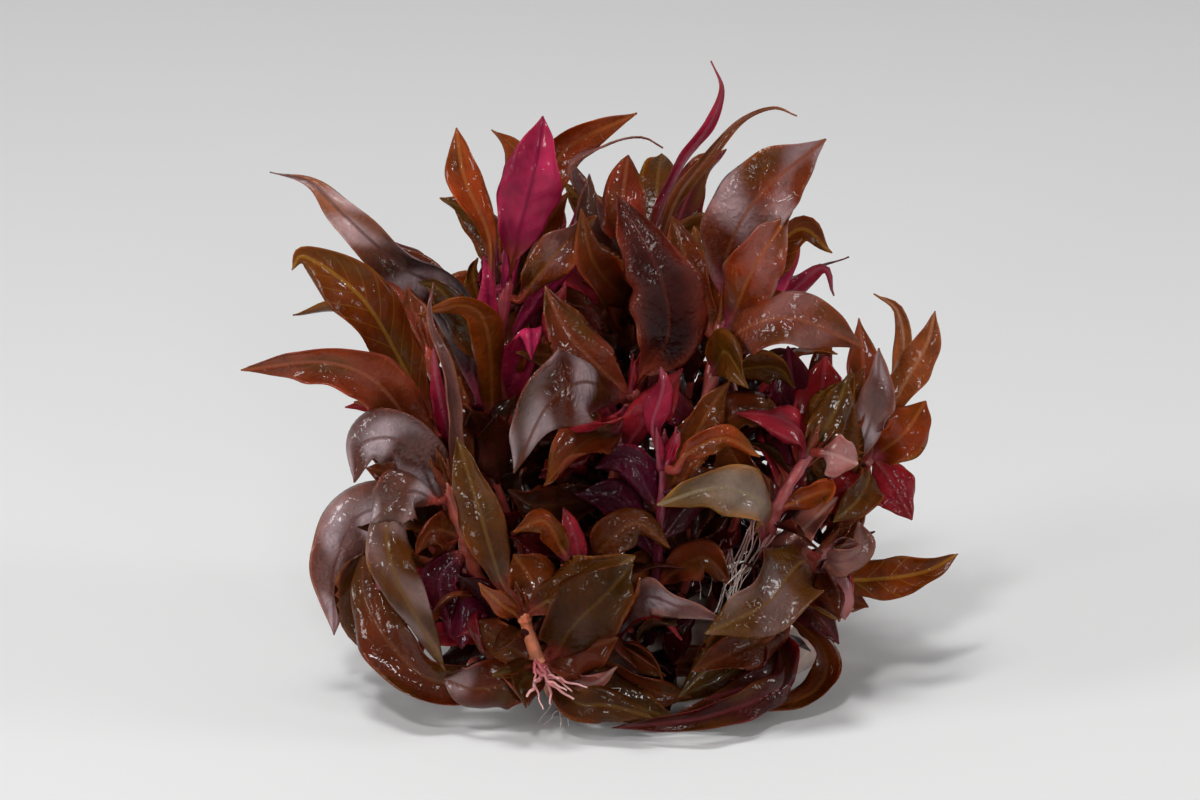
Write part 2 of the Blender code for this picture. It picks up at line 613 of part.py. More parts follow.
def shell_tree(grid, normal, thickness):
    """A search tree over the leaf's shell at this thickness."""
    rows, columns = grid.shape[:2]
    lift = normal[:, None, :] * thickness / 2
    upper, lower = (grid + lift).reshape(-1, 3), (grid - lift).reshape(-1, 3)
    count = rows * columns
    faces = grid_faces(rows, columns)
    faces += [tuple(corner + count for corner in face) for face in faces]
    border = [c for c in range(columns)] + [r * columns + columns - 1 for r in range(1, rows)]
    border += [(rows - 1) * columns + c for c in range(columns - 2, -1, -1)]
    border += [r * columns for r in range(rows - 2, 0, -1)]
    faces += [(a, b, b + count, a + count) for a, b in zip(border, border[1:] + border[:1])]
    return BVHTree.FromPolygons(np.vstack([upper, lower]).tolist(), faces)


def object_tree(obj):
    """A search tree over a finished object, in millimetres."""
    graph = bpy.context.evaluated_depsgraph_get()
    mesh = obj.evaluated_get(graph).to_mesh()
    places = [tuple(obj.matrix_world @ v.co / MM) for v in mesh.vertices]
    tree = BVHTree.FromPolygons(places, [tuple(p.vertices) for p in mesh.polygons])
    obj.evaluated_get(graph).to_mesh_clear()
    return tree


class Bed:
    """Everything that already lies in the clump, for the next leaf to be laid clear of."""

    def __init__(self):
        self.laid = []

    def add(self, owner, kind, tree):
        self.laid.append((owner, kind, tree))

    def clear(self, tree, outer, owner, grown_on):
        """True if nothing is touched. A young leaf grows out of its own stem among its fellows, so
        only its outer part is tried against them."""
        for other, kind, there in self.laid:
            own = grown_on and other == owner and kind in ("stem", "young")
            if (outer if own else tree).overlap(there):
                return False
        return True

    def lay(self, owner, stem, entry, grown_on):
        """The first way to lie that is clear of the rest and of the table."""
        base = leaf_base(stem, entry, grown_on)
        lengthwise, crosswise = YOUNG_GRID if grown_on else LEAF_GRID
        for way in ways_to_lie():
            grid, normal = leaf_surface(base, entry, way, lengthwise, crosswise)
            if grid[..., 2].min() < SMALLEST_HEIGHT + LEAF_THICKNESS / 2:
                continue
            fat = LEAF_THICKNESS + 2 * GAP
            outer = shell_tree(grid[1:], normal[1:], fat)
            if self.clear(shell_tree(grid, normal, fat), outer, owner, grown_on):
                kind = "young" if grown_on else "leaf"
                self.add(owner, kind, shell_tree(grid, normal, LEAF_THICKNESS))
                return grid
        raise ValueError(f"a leaf of {owner} has no room to lie clear of the rest")


def root_lines(tuft):
    """The middle lines of a tuft's roots, each sagging a little on its way from the knot."""
    lines = []
    for number, tip in enumerate(tuft["tips"]):
        run = tip - tuft["knot"]
        sideways = np.cross(run, (0, 0, 1)) * (0.16 if number % 2 else -0.12)
        middle = tuft["knot"] + run * 0.5 + sideways
        lines.append(smooth_line([tuft["knot"] - run * 0.06, middle, tip], np.linspace(0, 1, 5)))
    return lines


def clear_scene():
    for obj in list(bpy.data.objects):
        bpy.data.objects.remove(obj, do_unlink=True)


def collection(name):
    made = bpy.data.collections.new(name)
    bpy.context.scene.collection.children.link(made)
    return made


def material(name, colour, roughness):
    """A plain surface of a colour given as an sRGB hex."""
    parts = [int(colour[at : at + 2], 16) / 255 for at in (1, 3, 5)]
    colour = [part / 12.92 if part < 0.04045 else ((part + 0.055) / 1.055) ** 2.4 for part in parts]
    made = bpy.data.materials.new(name)
    made.use_nodes = True
    shader = made.node_tree.nodes["Principled BSDF"]
    shader.inputs["Base Color"].default_value = (*colour, 1)
    shader.inputs["Roughness"].default_value = roughness
    shader.inputs["Metallic"].default_value = 0
    return made


def leaf_object(name, grid, home, paint):
    """A leaf: its middle surface as an open sheet, given its thickness by Solidify."""
    rows, columns = grid.shape[:2]
    sheet = bmesh.new()
    bmesh.ops.create_grid(sheet, x_segments=rows - 1, y_segments=columns - 1, size=1)
    for vertex in sheet.verts:
        row = round((vertex.co.x + 1) / 2 * (rows - 1))
        column = round((vertex.co.y + 1) / 2 * (columns - 1))
        vertex.co = grid[row, column] * MM
    mesh = bpy.data.meshes.new(name)
    sheet.to_mesh(mesh)
    sheet.free()
    mesh.shade_smooth()
    mesh.materials.append(paint)
    obj = bpy.data.objects.new(name, mesh)
    home.objects.link(obj)
    body = obj.modifiers.new("thickness", "SOLIDIFY")
    body.thickness = LEAF_THICKNESS * MM
    body.offset = 0
    return obj


def tube_object(name, line, radius, sides, home, paint):
    """A round stem or root along a line of points, as a closed mesh."""
    curve = bpy.data.curves.new(name, "CURVE")
    curve.dimensions = "3D"
    curve.bevel_depth = radius * MM
    curve.bevel_resolution = (sides - 4) // 2
    curve.use_fill_caps = True
    spline = curve.splines.new("POLY")
    spline.points.add(len(line) - 1)
    for point, place in zip(spline.points, line):
        point.co = (*(place * MM), 1)
    drawn = bpy.data.objects.new(name, curve)
    home.objects.link(drawn)
    graph = bpy.context.evaluated_depsgraph_get()
    mesh = bpy.data.meshes.new_from_object(drawn.evaluated_get(graph))
    bpy.data.objects.remove(drawn)
    bpy.data.curves.remove(curve)
    seam = bmesh.new()
    seam.from_mesh(mesh)
    bmesh.ops.remove_doubles(seam, verts=seam.verts, dist=0.00001)
    bmesh.ops.recalc_face_normals(seam, faces=seam.faces)
    seam.to_mesh(mesh)
    seam.free()
    mesh.shade_smooth()
    mesh.materials.clear()
    mesh.materials.append(paint)
    obj = bpy.data.objects.new(name, mesh)
    home.objects.link(obj)
    return obj


def grow_together(obj, fellows, helpers):
    """Joins the fellows to the object in one solid, and hides them as helpers."""
    kit = bpy.data.collections.new(obj.name + "_grown_on")
    helpers.children.link(kit)
    for fellow in fellows:
        for owner in list(fellow.users_collection):
            owner.objects.unlink(fellow)
        kit.objects.link(fellow)
        fellow.hide_render = True
        fellow.display_type = "WIRE"
    join = obj.modifiers.new("grown on", "BOOLEAN")
    join.operation = "UNION"
    join.operand_type = "COLLECTION"
    join.collection = kit
    join.solver = "EXACT"


def gel_object(home, paint):
    """The lump of gel: a ball squared off to a flat top, cut flat below, with an uneven side."""
    ball = bmesh.new()
    bmesh.ops.create_uvsphere(ball, u_segments=18, v_segments=8, radius=1)
    for vertex in ball.verts:
        x, y, z = vertex.co
        bearing = math.atan2(y, x)
        uneven = 1 + 0.035 * math.sin(3 * bearing + 0.6) + 0.025 * math.sin(5 * bearing)
        reach = math.hypot(x, y) ** 0.5
        flat = math.hypot(x, y) or 1.0
        vertex.co.x = GEL_MIDDLE[0] + GEL_HALF[0] * uneven * x / flat * reach
        vertex.co.y = GEL_MIDDLE[1] + GEL_HALF[1] * uneven * y / flat * reach
        vertex.co.z = GEL_HEIGHT * z
    whole = ball.verts[:] + ball.edges[:] + ball.faces[:]
    cut = bmesh.ops.bisect_plane(
        ball, geom=whole, plane_co=(0, 0, 0), plane_no=(0, 0, -1), clear_outer=True
    )
    rim = [piece for piece in cut["geom_cut"] if isinstance(piece, bmesh.types.BMEdge)]
    bmesh.ops.contextual_create(ball, geom=rim)
    bmesh.ops.scale(ball, vec=(MM, MM, MM), verts=ball.verts)
    bmesh.ops.recalc_face_normals(ball, faces=ball.faces)
    mesh = bpy.data.meshes.new("culture_gel")
    ball.to_mesh(mesh)
    ball.free()
    mesh.shade_smooth()
    mesh.materials.append(paint)
    obj = bpy.data.objects.new("culture_gel", mesh)
    home.objects.link(obj)
    return obj


def main():
    clear_scene()
    home = collection("mini_alternanthera_clump")
    helpers = collection("helpers")
    paints = {tone: material(f"leaf {tone}", colour, 0.3) for tone, colour in TONES.items()}
    paints["gel"] = material("culture gel", GEL_COLOUR, 0.15)
    paints["stem"] = material("stem", STEM_COLOUR, 0.35)
    paints["root"] = material("root", ROOT_COLOUR, 0.4)
    bed = Bed()
    gel = gel_object(home, paints["gel"])
    bpy.context.view_layer.update()
    bed.add("gel", "gel", object_tree(gel))
    shoots = {name: dict(shoot) for name, shoot in SHOOTS.items()}
    for number, (name, bearing, height, large) in enumerate(BACK_SHOOTS):
        made = back_shoot(number, bearing, height)
        shoots[name] = {
            "stem": made["stem"],
            "leaves": {f"brown_{name}": made["all"][n] for n in large},
            "young": [entry for n, entry in enumerate(made["all"]) if n not in large],
        }
    stems = {}
    for name, shoot in shoots.items():
        line = smooth_line(shoot["stem"], np.linspace(0, 1, 6))
        stems[name] = tube_object("stem_" + name, line, STEM_RADIUS, 6, home, paints["stem"])
        bed.add(name, "stem", object_tree(stems[name]))
    for name, tuft in ROOTS.items():
        tubes = [
            tube_object(f"{name}_{number + 1}", line, ROOT_RADIUS, 4, home, paints["root"])
            for number, line in enumerate(root_lines(tuft))
        ]
        for tube in tubes:
            bed.add(name, "root", object_tree(tube))
        tubes[0].name = name
        grow_together(tubes[0], tubes[1:], helpers)
    for name, shoot in shoots.items():
        for title, entry in shoot["leaves"].items():
            grid = bed.lay(name, shoot["stem"], entry, False)
            leaf_object("leaf_" + title, grid, home, paints[title.split("_")[0]])
    for name, shoot in shoots.items():
        grown = []
        for number, entry in enumerate(shoot["young"]):
            grid = bed.lay(name, shoot["stem"], entry, True)
            grown.append(leaf_object(f"{name}_young_{number + 1}", grid, home, paints["stem"]))
        grow_together(stems[name], grown, helpers)


main()
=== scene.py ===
# A clump of mini Alternanthera reineckii, fresh out of its growing cup: wet leaves on salmon
# stems, crowded on a lump of culture gel. The tables and the lines of stems and leaves are
# those of the solids, in millimetres; meshes are made in metres, +Z up, at the origin.
import math

import bpy
import numpy as np
from mathutils import Matrix, Vector
from mathutils.bvhtree import BVHTree


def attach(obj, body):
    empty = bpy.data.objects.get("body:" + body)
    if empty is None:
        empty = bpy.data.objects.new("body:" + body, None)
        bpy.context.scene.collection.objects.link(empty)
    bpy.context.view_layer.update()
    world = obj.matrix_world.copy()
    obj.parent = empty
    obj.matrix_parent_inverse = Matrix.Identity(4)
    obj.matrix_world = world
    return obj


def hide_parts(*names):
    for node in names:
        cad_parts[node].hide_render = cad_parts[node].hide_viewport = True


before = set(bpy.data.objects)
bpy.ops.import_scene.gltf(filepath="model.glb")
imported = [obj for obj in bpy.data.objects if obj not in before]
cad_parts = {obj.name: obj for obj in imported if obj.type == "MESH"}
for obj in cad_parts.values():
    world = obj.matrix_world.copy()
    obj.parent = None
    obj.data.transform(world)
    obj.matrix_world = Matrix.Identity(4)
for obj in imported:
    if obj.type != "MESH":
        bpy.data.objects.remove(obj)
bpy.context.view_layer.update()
mm = 0.001

# Straight from the front and a little above, as in the photograph
camera = {
    "lookDown": math.radians(18),
    "distance": 450.0,
    "aimAcross": 1.0,
    "aimUp": 26.0,
    "pictureUp": 27.6,  # the height in the picture where the camera aims
    "lens": 135.0,
    "sensor": 36.0,
}
sine, cosine = math.sin(camera["lookDown"]), math.cos(camera["lookDown"])
viewAxes = np.array([[1, 0, 0], [0, sine, cosine], [0, -cosine, sine]])  # across, up, toward us


def seen(across, up, nearer):
    # The spot that shows at (across, up) in the photograph and lies that much nearer to us
    shrink = (camera["distance"] - nearer) / camera["distance"]
    flat = [
        camera["aimAcross"] + (across - camera["aimAcross"]) * shrink,
        camera["aimUp"] + (up - camera["pictureUp"]) * shrink,
        nearer,
    ]
    return np.array(flat) @ viewAxes


def unit(vectors):
    # Vectors brought to length one
    return vectors / np.maximum(np.linalg.norm(vectors, axis=-1, keepdims=True), 1e-9)


def linear(colour):
    # An sRGB hex as linear red, green and blue
    parts = np.array([int(colour[at : at + 2], 16) / 255 for at in (1, 3, 5)])
    return np.where(parts < 0.04045, parts / 12.92, ((parts + 0.055) / 1.055) ** 2.4)


def smooth(low, high, values):
    # 0 below low, 1 above high, and an S curve between them
    share = np.clip((np.asarray(values, float) - low) / (high - low), 0, 1)
    return share * share * (3 - 2 * share)


gel = {
    "middle": (9.5, 1.5),
    "half": (14.5, 10.5),
    "height": 8.0,
    "square": 4,  # the power that squares off its dome
    "footAbove": 1.4,  # how far over the gel the solids of the stems begin
    "outline": ((3, 0.6, 0.035), (5, 0, 0.025)),  # waves round the outline: number, start, share
    "lumps": 0.45,  # how far the surface rises and falls
    "underside": 0.18,  # rows spent on the flat underside, as a share of those of the dome
    "roundedFoot": 0.5,
    "rows": 90,
    "columns": 200,
}
toward, away = (0, 0, 1), (0, 0, -1)
upward = np.array([0, 0, 1.0])


def onGel(x, y):
    # A stem's foot: over the gel's rounded top, where the solids of the stems begin
    reach = math.hypot((x - gel["middle"][0]) / gel["half"][0], (y - gel["middle"][1]) / gel["half"][1])
    dome = math.sqrt(max(0.0, 1 - min(reach, 1.0) ** gel["square"]))
    return np.array([x, y, gel["height"] * dome + gel["footAbove"]])


def leafOf(at, path, wide, face, turn=0, twist=0, cup=12, broadest=0.5, sharp=0.85,
           lie=(0, 0, 0), tone=None, deep=1):
    # One leaf: where it leaves its stem (0 foot, 1 top), the places its midrib passes, its width,
    # the way its upper side faces, how it is turned, twisted and cupped, where it is broadest and
    # how sharply it tapers, how it has settled among the others (lifted, swung, rolled), its
    # colour, and how much light reaches it. Angles are in degrees
    return {
        "at": at, "path": path, "wide": wide, "face": face, "turn": turn, "twist": twist, "cup": cup,
        "broadest": broadest, "sharp": sharp, "lie": lie, "tone": tone, "deep": deep,
    }


def leaf(at, path, wide, face=toward, **form):
    # A leaf whose places and face are those that the photograph shows
    path = [seen(*place) for place in path]
    return leafOf(at, path, wide, unit(np.array(face, float) @ viewAxes), **form)


# The plantlets of the front, left to right: the line of the stem, the large leaves by name,
# and the young leaves round them
plantlets = {
    "top": {
        "stem": [onGel(-9, 4), seen(-9.5, 28, 9), seen(-8.2, 40, 13)],
        "leaves": {
            "magenta_upright": leaf(1.0, [(-7.4, 43.5, 15), (-5.6, 50.5, 18), (-4.7, 56, 17)], 6.2,
                face=away, cup=-8, broadest=0.5),
            "amber_upright": leaf(0.97, [(-9.6, 44, 15), (-11.4, 50, 16), (-11.7, 55.1, 14)], 3.5,
                broadest=0.66, sharp=0.9, lie=(0, 6, 0)),
            "amber_behind": leaf(1.0, [(-5.5, 46, 9), (-2.5, 52.5, 8), (4.7, 56.3, 9)], 4.2),
            "amber_right": leaf(0.95, [(-4.6, 42.6, 15), (-1.2, 47.5, 14)], 4.4, turn=20,
                lie=(0, -12, 0)),
            "russet_curl": leaf(0.62, [(-14, 37.5, 9), (-19, 41, 11), (-24.5, 46, 11),
                (-28, 49.3, 9), (-32, 50.4, 7)], 4.8, turn=-15, twist=-40, sharp=1.3,
                broadest=0.45),
            "brown_arch": leaf(0.6, [(-10.2, 34, 17), (-12.2, 37, 20), (-17.2, 36.2, 21)], 3.6,
                turn=10, cup=-15),
        },
        "young": [
            leaf(0.6, [(-8.2, 33, 16), (-7.6, 29.6, 18)], 3.8, lie=(-15, -6, 30), tone="magenta"),
            leaf(0.6, [(-5.6, 34.6, 13), (-4.9, 38.4, 14)], 3.0, face=away, lie=(20, 0, 0),
                tone="plum"),
            leaf(0.65, [(-3.4, 33, 11), (0.6, 37.8, 10)], 5.0, lie=(-15, -6, 15), tone="russet"),
            leaf(1.0, [(-7.8, 50, 10), (-7.5, 54.5, 9), (-10.3, 58, 7)], 3.5, turn=25,
                lie=(-20, 0, 0), tone="amber"),
            leaf(0.7, [(-10.3, 40, 16), (-10.6, 43.2, 15.5)], 2.6, face=away, lie=(-10, 0, 0),
                tone="magenta"),
            leaf(0.75, [(-12, 39.5, 11), (-14, 41.3, 10)], 4.0, turn=-20, lie=(5, 18, 0),
                tone="olive"),
            leaf(0.8, [(-11.8, 40, 12), (-11.4, 42.3, 12)], 3.2, turn=30, lie=(-25, 0, 0),
                tone="olive"),
            leaf(0.8, [(-3.5, 40, 13), (-2.2, 43, 12), (-1.3, 47, 11)], 2.7, face=away, turn=30,
                lie=(5, 0, 0), tone="magenta"),
            leaf(0.55, [(-15.5, 39.5, 6), (-20.5, 44.3, 6)], 4.2, turn=-30, lie=(-15, 0, 15),
                tone="umber"),
        ],
    },
    "left": {
        "stem": [onGel(-11.5, -3), seen(-13.3, 21.5, 13), seen(-16.5, 33, 15)],
        "leaves": {
            "ochre_broad": leaf(0.75, [(-19.2, 32, 17), (-23, 38, 20), (-28.4, 41.9, 18),
                (-29.8, 40.6, 17)], 6.0, turn=8, broadest=0.55, cup=8),
            "russet_flat": leaf(0.55, [(-20, 28, 19), (-26, 31.3, 21), (-34.9, 30.6, 17)], 5.3,
                turn=-12, cup=14),
            "lilac_edge": leaf(0.42, [(-14.2, 30.5, 21), (-16, 36.5, 22), (-15.7, 40.3, 21)], 1.9,
                turn=40, lie=(5, 0, 0)),
        },
        "young": [
            leaf(0.5, [(-12.4, 25, 14), (-10.6, 22, 17)], 4.4, lie=(-25, 0, 0), tone="umber"),
            leaf(0.65, [(-15.2, 29, 18), (-15.7, 33.2, 18)], 2.0, face=away, lie=(-5, 0, 0),
                tone="pink"),
            leaf(0.3, [(-11, 16, 13), (-7.5, 17.5, 15)], 4.0, lie=(15, 0, 30), tone="olive"),
            leaf(0.95, [(-20, 38, 12), (-26, 42.6, 11)], 4.0, face=away, turn=30, lie=(0, -6, 0),
                tone="russet"),
            leaf(0.45, [(-20, 26, 15), (-23.5, 27.2, 14)], 3.5, lie=(-5, 0, 0), tone="brown"),
        ],
    },
    "left_low": {
        "stem": [onGel(-8, -8), seen(-12.5, 13.5, 17), seen(-14.4, 19.3, 20)],
        "leaves": {
            "slate_dome": leaf(0.85, [(-18.6, 23.2, 19.5), (-22.8, 23.4, 18), (-23.6, 19.4, 17.5)],
                6.2, turn=-15, cup=-12, lie=(10, 0, 0)),
            "slate_broad": leaf(0.95, [(-18.2, 18.4, 22.4), (-22, 15.2, 20.8)], 5.4, turn=10,
                cup=-12, sharp=0.8),
            "lilac_hanging": leaf(0.6, [(-21.5, 16.6, 13), (-25.2, 12, 11.5), (-25.6, 4.1, 10)],
                6.4, turn=-12, cup=-12),
            "olive_curl": leaf(0.75, [(-19.4, 16.4, 21), (-19.9, 11, 23), (-15.8, 0.6, 20)], 4.5,
                turn=15, twist=-35, cup=-14, lie=(0, 6, 0)),
        },
        "young": [
            leaf(0.35, [(-12.4, 8.8, 16), (-12.6, 3, 17)], 6.0, face=away, lie=(5, 0, 0),
                tone="wine"),
            leaf(0.45, [(-21.4, 12, 14), (-23.4, 7, 14.5), (-19.6, 0, 16)], 4.6, lie=(-15, 6, 0),
                tone="olive"),
            leaf(0.25, [(-14.6, 4.4, 17), (-15.6, 2.4, 17.5)], 2.6, face=away, lie=(15, 0, 0),
                tone="crimson"),
            leaf(0.68, [(-15, 9.5, 17), (-14, 5, 18)], 4.2, tone="wine"),
            leaf(0.5, [(-20, 9, 17), (-20.7, 6.5, 16)], 2.2, face=away, lie=(5, 6, 0), tone="pink"),
        ],
    },
    "front_low": {
        "stem": [seen(-4.5, 0.2, 18), seen(-5.7, 3, 20.5), seen(-6.7, 6.4, 22)],
        "leaves": {
            "olive_tall": leaf(1.0, [(-9, 9.8, 24), (-10.8, 15.6, 25.5), (-13.3, 23.9, 25)], 4.5,
                turn=-8, broadest=0.56),
            "olive_broad": leaf(0.3, [(-1.5, 5.2, 24), (1.6, 8.2, 25.5), (4.3, 11.2, 24)], 7.2,
                turn=12, cup=8),
            "umber_boat": leaf(0.05, [(-15, -0.6, 18.5), (-19.5, 2.6, 17.5), (-22.5, 7.6, 15.5),
                (-22.7, 12.6, 13.5)], 5.8, turn=-10, cup=16),
            "umber_low": leaf(0.1, [(-8.5, -0.4, 21.5), (-12, -0.6, 20.5), (-14.4, 0.6, 18)], 5.4,
                cup=-10, sharp=0.7, lie=(10, 6, 0)),
        },
        "young": [
            leaf(0.1, [(0, -0.8, 20.5), (2.7, 0.9, 21)], 2.0, tone="rose"),
            leaf(0.2, [(-8.5, 3.2, 18), (-12, 5.5, 17)], 4.6, lie=(5, 0, 0), tone="umber"),
            leaf(0.95, [(-9.3, 7.6, 23), (-11.7, 9.9, 23)], 2.1, turn=-20, lie=(20, 0, 0),
                tone="amber"),
            leaf(0.95, [(-4.4, 7.4, 22.5), (-1.6, 8.6, 22), (4.6, 12, 21)], 5.5, turn=-10,
                tone="olive"),
            leaf(0.15, [(-7.5, -1.2, 21.5), (-9.9, 0, 22.3)], 3.7, lie=(15, 0, 0), tone="umber"),
            leaf(0.1, [(-1, -2.7, 20.5), (2.5, -3.1, 21.5), (6.7, -4.2, 21)], 3.7, lie=(10, 0, 0),
                tone="olive"),
            leaf(0.9, [(-5.6, 8.8, 19.5), (-7.6, 12.2, 18.5)], 6.0, tone="brown"),
        ],
    },
    "centre": {
        "stem": [onGel(0, -9), seen(-0.5, 9.2, 15.5), seen(-1, 10.2, 18)],
        "leaves": {
            "amber_hook": leaf(1.0, [(-2.8, 12.6, 19.5), (-4.6, 15.5, 21), (-7.7, 14.4, 22)], 2.8,
                turn=15, cup=-10),
            "brown_dome": leaf(0.9, [(1, 12.6, 19.5), (4.6, 15.3, 21.5), (8, 12.8, 22)], 3.9,
                turn=-10, cup=-14),
            "lilac_band": leaf(0.2, [(5, 7.6, 19), (9, 6.9, 22), (13.8, 5.3, 21)], 3.7, turn=-15,
                cup=-12),
        },
        "young": [
            leaf(0.06, [(3.4, 2, 17), (7.6, 0, 18.5)], 4.6, tone="umber"),
            leaf(0.3, [(-3.4, 5, 15), (-6.5, 4.4, 16.5)], 4.4, lie=(0, 18, 0), tone="wine"),
            leaf(0.1, [(8, 1.4, 18.5), (11.2, -0.6, 19)], 3.6, lie=(-35, 0, 0), tone="umber"),
            leaf(0.5, [(-3.5, 8.6, 16), (-7, 9.4, 16)], 4.0, lie=(-30, 0, 15), tone="umber"),
            leaf(0.3, [(3.5, 9.5, 16), (8, 10.6, 16)], 4.4, lie=(-35, 0, 0), tone="brown"),
            leaf(0.97, [(-0.7, 13.6, 18.5), (-1.3, 17.1, 18)], 2.2, face=away, lie=(5, -12, 0),
                tone="crimson"),
            leaf(0.3, [(5.4, 9.2, 19), (6.4, 12, 19.5)], 1.8, turn=50, lie=(15, 0, 0),
                tone="umber"),
        ],
    },
    "pink": {
        "stem": [onGel(6, -8), seen(7, 15, 17), seen(7.3, 21.5, 19)],
        "leaves": {
            "pink_upright": leaf(1.0, [(6.3, 25.2, 20), (7.3, 28.8, 21), (7.1, 30.9, 20.5)], 2.7,
                face=away, turn=-15),
            "amber_small": leaf(0.97, [(10, 22.4, 20.5), (13.5, 23.8, 21.5), (17, 21.9, 22)], 2.7,
                turn=10, cup=-12),
        },
        "young": [
            leaf(0.8, [(11.6, 26, 15), (14, 29.5, 15)], 4.2, tone="brown"),
            leaf(0.35, [(9.5, 12.8, 17), (13, 11, 18)], 4.0, lie=(-15, -18, 0), tone="umber"),
            leaf(0.75, [(4, 21.5, 17), (0.5, 20.8, 18)], 3.6, face=away, tone="wine", deep=0.4),
            leaf(0.97, [(8, 23, 19.6), (8.6, 24.5, 20)], 1.7, lie=(0, -6, -15), tone="pink"),
            leaf(0.5, [(3, 17.5, 15), (-1.5, 18.2, 16)], 4.2, face=away, tone="wine", deep=0.35),
            leaf(0.6, [(11.5, 19, 16), (14.5, 20.4, 16)], 4.0, face=away, tone="plum", deep=0.4),
        ],
    },
    "middle": {
        "stem": [onGel(1, -2), seen(2.5, 20, 12), seen(4.5, 29, 15)],
        "leaves": {
            "umber_tall": leaf(1.0, [(7.8, 34, 19), (7, 40, 21.5), (2.7, 48.1, 19)], 7.6, turn=-18,
                broadest=0.46, cup=10),
            "umber_glossy": leaf(0.95, [(-0.6, 29.4, 24.5), (-4.3, 27, 28), (-7.6, 20.3, 27)], 7.8,
                turn=-8, cup=-16, broadest=0.5, sharp=0.85),
        },
        "young": [
            leaf(0.7, [(6.5, 27, 17), (9.4, 31, 16)], 4.2, face=away, lie=(-5, 0, 15),
                tone="crimson"),
            leaf(0.7, [(-2, 31, 12), (-7.4, 32.4, 13)], 4.4, lie=(5, 0, 0), tone="umber"),
            leaf(0.9, [(1.5, 28.6, 20.5), (6.4, 29.6, 21)], 4.7, face=away, lie=(-35, -18, 15),
                tone="crimson"),
            leaf(0.8, [(2, 25.5, 19), (-2.2, 23.4, 22.5)], 5.5, lie=(-35, 24, 30), tone="umber"),
            leaf(0.95, [(-2, 34, 17), (-4.5, 39, 16)], 4.8, tone="russet"),
            leaf(0.8, [(-5.2, 33, 15), (-5.4, 38, 14)], 3.6, face=away, lie=(-5, 12, 0),
                tone="crimson"),
            leaf(0.5, [(-5, 17, 15), (-8.2, 18.6, 17)], 4.5, tone="umber", deep=0.4),
        ],
    },
    "tall": {
        "stem": [onGel(4, 5), seen(4, 30, 2), seen(5.4, 43, 5)],
        "leaves": {
            "pink_ribbon": leaf(1.0, [(7.1, 47.2, 6), (9.2, 51.4, 5), (12, 55.2, 4),
                (13.2, 58.6, 4), (12.1, 61.5, 3)], 1.6, face=away, turn=35, broadest=0.35),
            "tan_ribbon": leaf(0.97, [(8.6, 47.6, 9), (11.4, 51.4, 9), (14.6, 55.2, 9),
                (18.2, 56.8, 9), (20.7, 56, 9)], 1.6, turn=40, broadest=0.35),
        },
        "young": [
            leaf(0.7, [(3.5, 38, 6), (0, 42.5, 5)], 4.6, lie=(-5, 0, 0), tone="brick"),
            leaf(0.7, [(8, 40, 6), (11, 44.6, 5)], 4.6, lie=(20, 0, 15), tone="umber"),
            leaf(0.5, [(8, 33, 4), (12, 35, 4)], 4.4, lie=(5, 0, 15), tone="umber"),
            leaf(0.5, [(0.5, 32.5, 4), (-3, 33.5, 4)], 4.4, lie=(0, 0, -30), tone="umber"),
            leaf(0.97, [(-2, 50.4, 11), (1.5, 53, 12), (5, 53.9, 13), (7.3, 52.8, 13)], 2.3,
                turn=50, tone="lilac"),
            leaf(0.9, [(3.3, 46, 12), (3.8, 52.1, 12)], 4.7, face=away, sharp=0.55, broadest=0.6,
                tone="brick"),
            leaf(0.9, [(0, 46, 10), (0.4, 52.2, 9.5)], 3.8, lie=(15, 6, -15), tone="slate"),
            leaf(0.8, [(0, 42, 14), (-1.4, 47.6, 15)], 5.0, turn=-20, lie=(5, 0, 30), tone="umber"),
            leaf(0.8, [(0.6, 41, 10), (-0.8, 44.8, 11)], 4.5, face=away, lie=(35, -18, 15),
                tone="crimson"),
            leaf(0.9, [(8.5, 45.4, 9), (10.4, 43.2, 10)], 3.2, turn=30, lie=(-35, -12, -30),
                tone="olive"),
        ],
    },
    "right_top": {
        "stem": [onGel(9, -2), seen(11, 24, 13), seen(13.4, 36, 14)],
        "leaves": {
            "russet_rugose": leaf(1.0, [(13.8, 42.5, 16), (17, 48.2, 18.5), (23.6, 53.7, 16)], 7.4,
                turn=12, cup=8),
            "amber_fan": leaf(0.97, [(16.6, 41.2, 19), (20, 46.4, 18)], 5.6, turn=-10,
                lie=(5, 0, 0)),
            "russet_long": leaf(0.85, [(15.6, 34.6, 20), (21, 35.8, 22.5), (27.9, 32.9, 20)], 6.0,
                turn=-14, sharp=0.85, cup=-8, lie=(5, 0, 0)),
        },
        "young": [
            leaf(0.9, [(16.8, 37.5, 15), (20.5, 40, 15)], 4.6, lie=(0, -18, 0), tone="amber"),
            leaf(0.6, [(15.6, 27, 15), (19, 26, 16)], 4.4, lie=(-5, -6, -15), tone="umber"),
            leaf(0.6, [(8, 27.5, 15), (6, 30.5, 16)], 3.6, face=away, lie=(5, 0, 0), tone="plum"),
            leaf(0.95, [(12, 40, 11), (13.6, 44.6, 9)], 3.6, tone="brown"),
            leaf(0.8, [(13.6, 32.4, 19), (15.8, 28.8, 21)], 4.5, tone="olive"),
            leaf(0.8, [(17, 31.2, 18), (19, 29.1, 19)], 3.5, lie=(-35, 0, 30), tone="olive"),
            leaf(0.97, [(20.3, 44.4, 11), (24.2, 42.3, 9.5)], 4.2, turn=20, tone="ochre"),
            leaf(0.9, [(20, 41, 12), (21.5, 44.6, 12)], 2.6, face=away, lie=(10, 0, 0),
                tone="magenta"),
            leaf(0.8, [(22.5, 40.5, 8), (24.4, 38, 8)], 2.5, face=away, tone="pink"),
            leaf(0.9, [(9.5, 42, 13), (8.2, 46, 12)], 4.5, lie=(0, 0, -15), tone="umber"),
        ],
    },
    "right": {
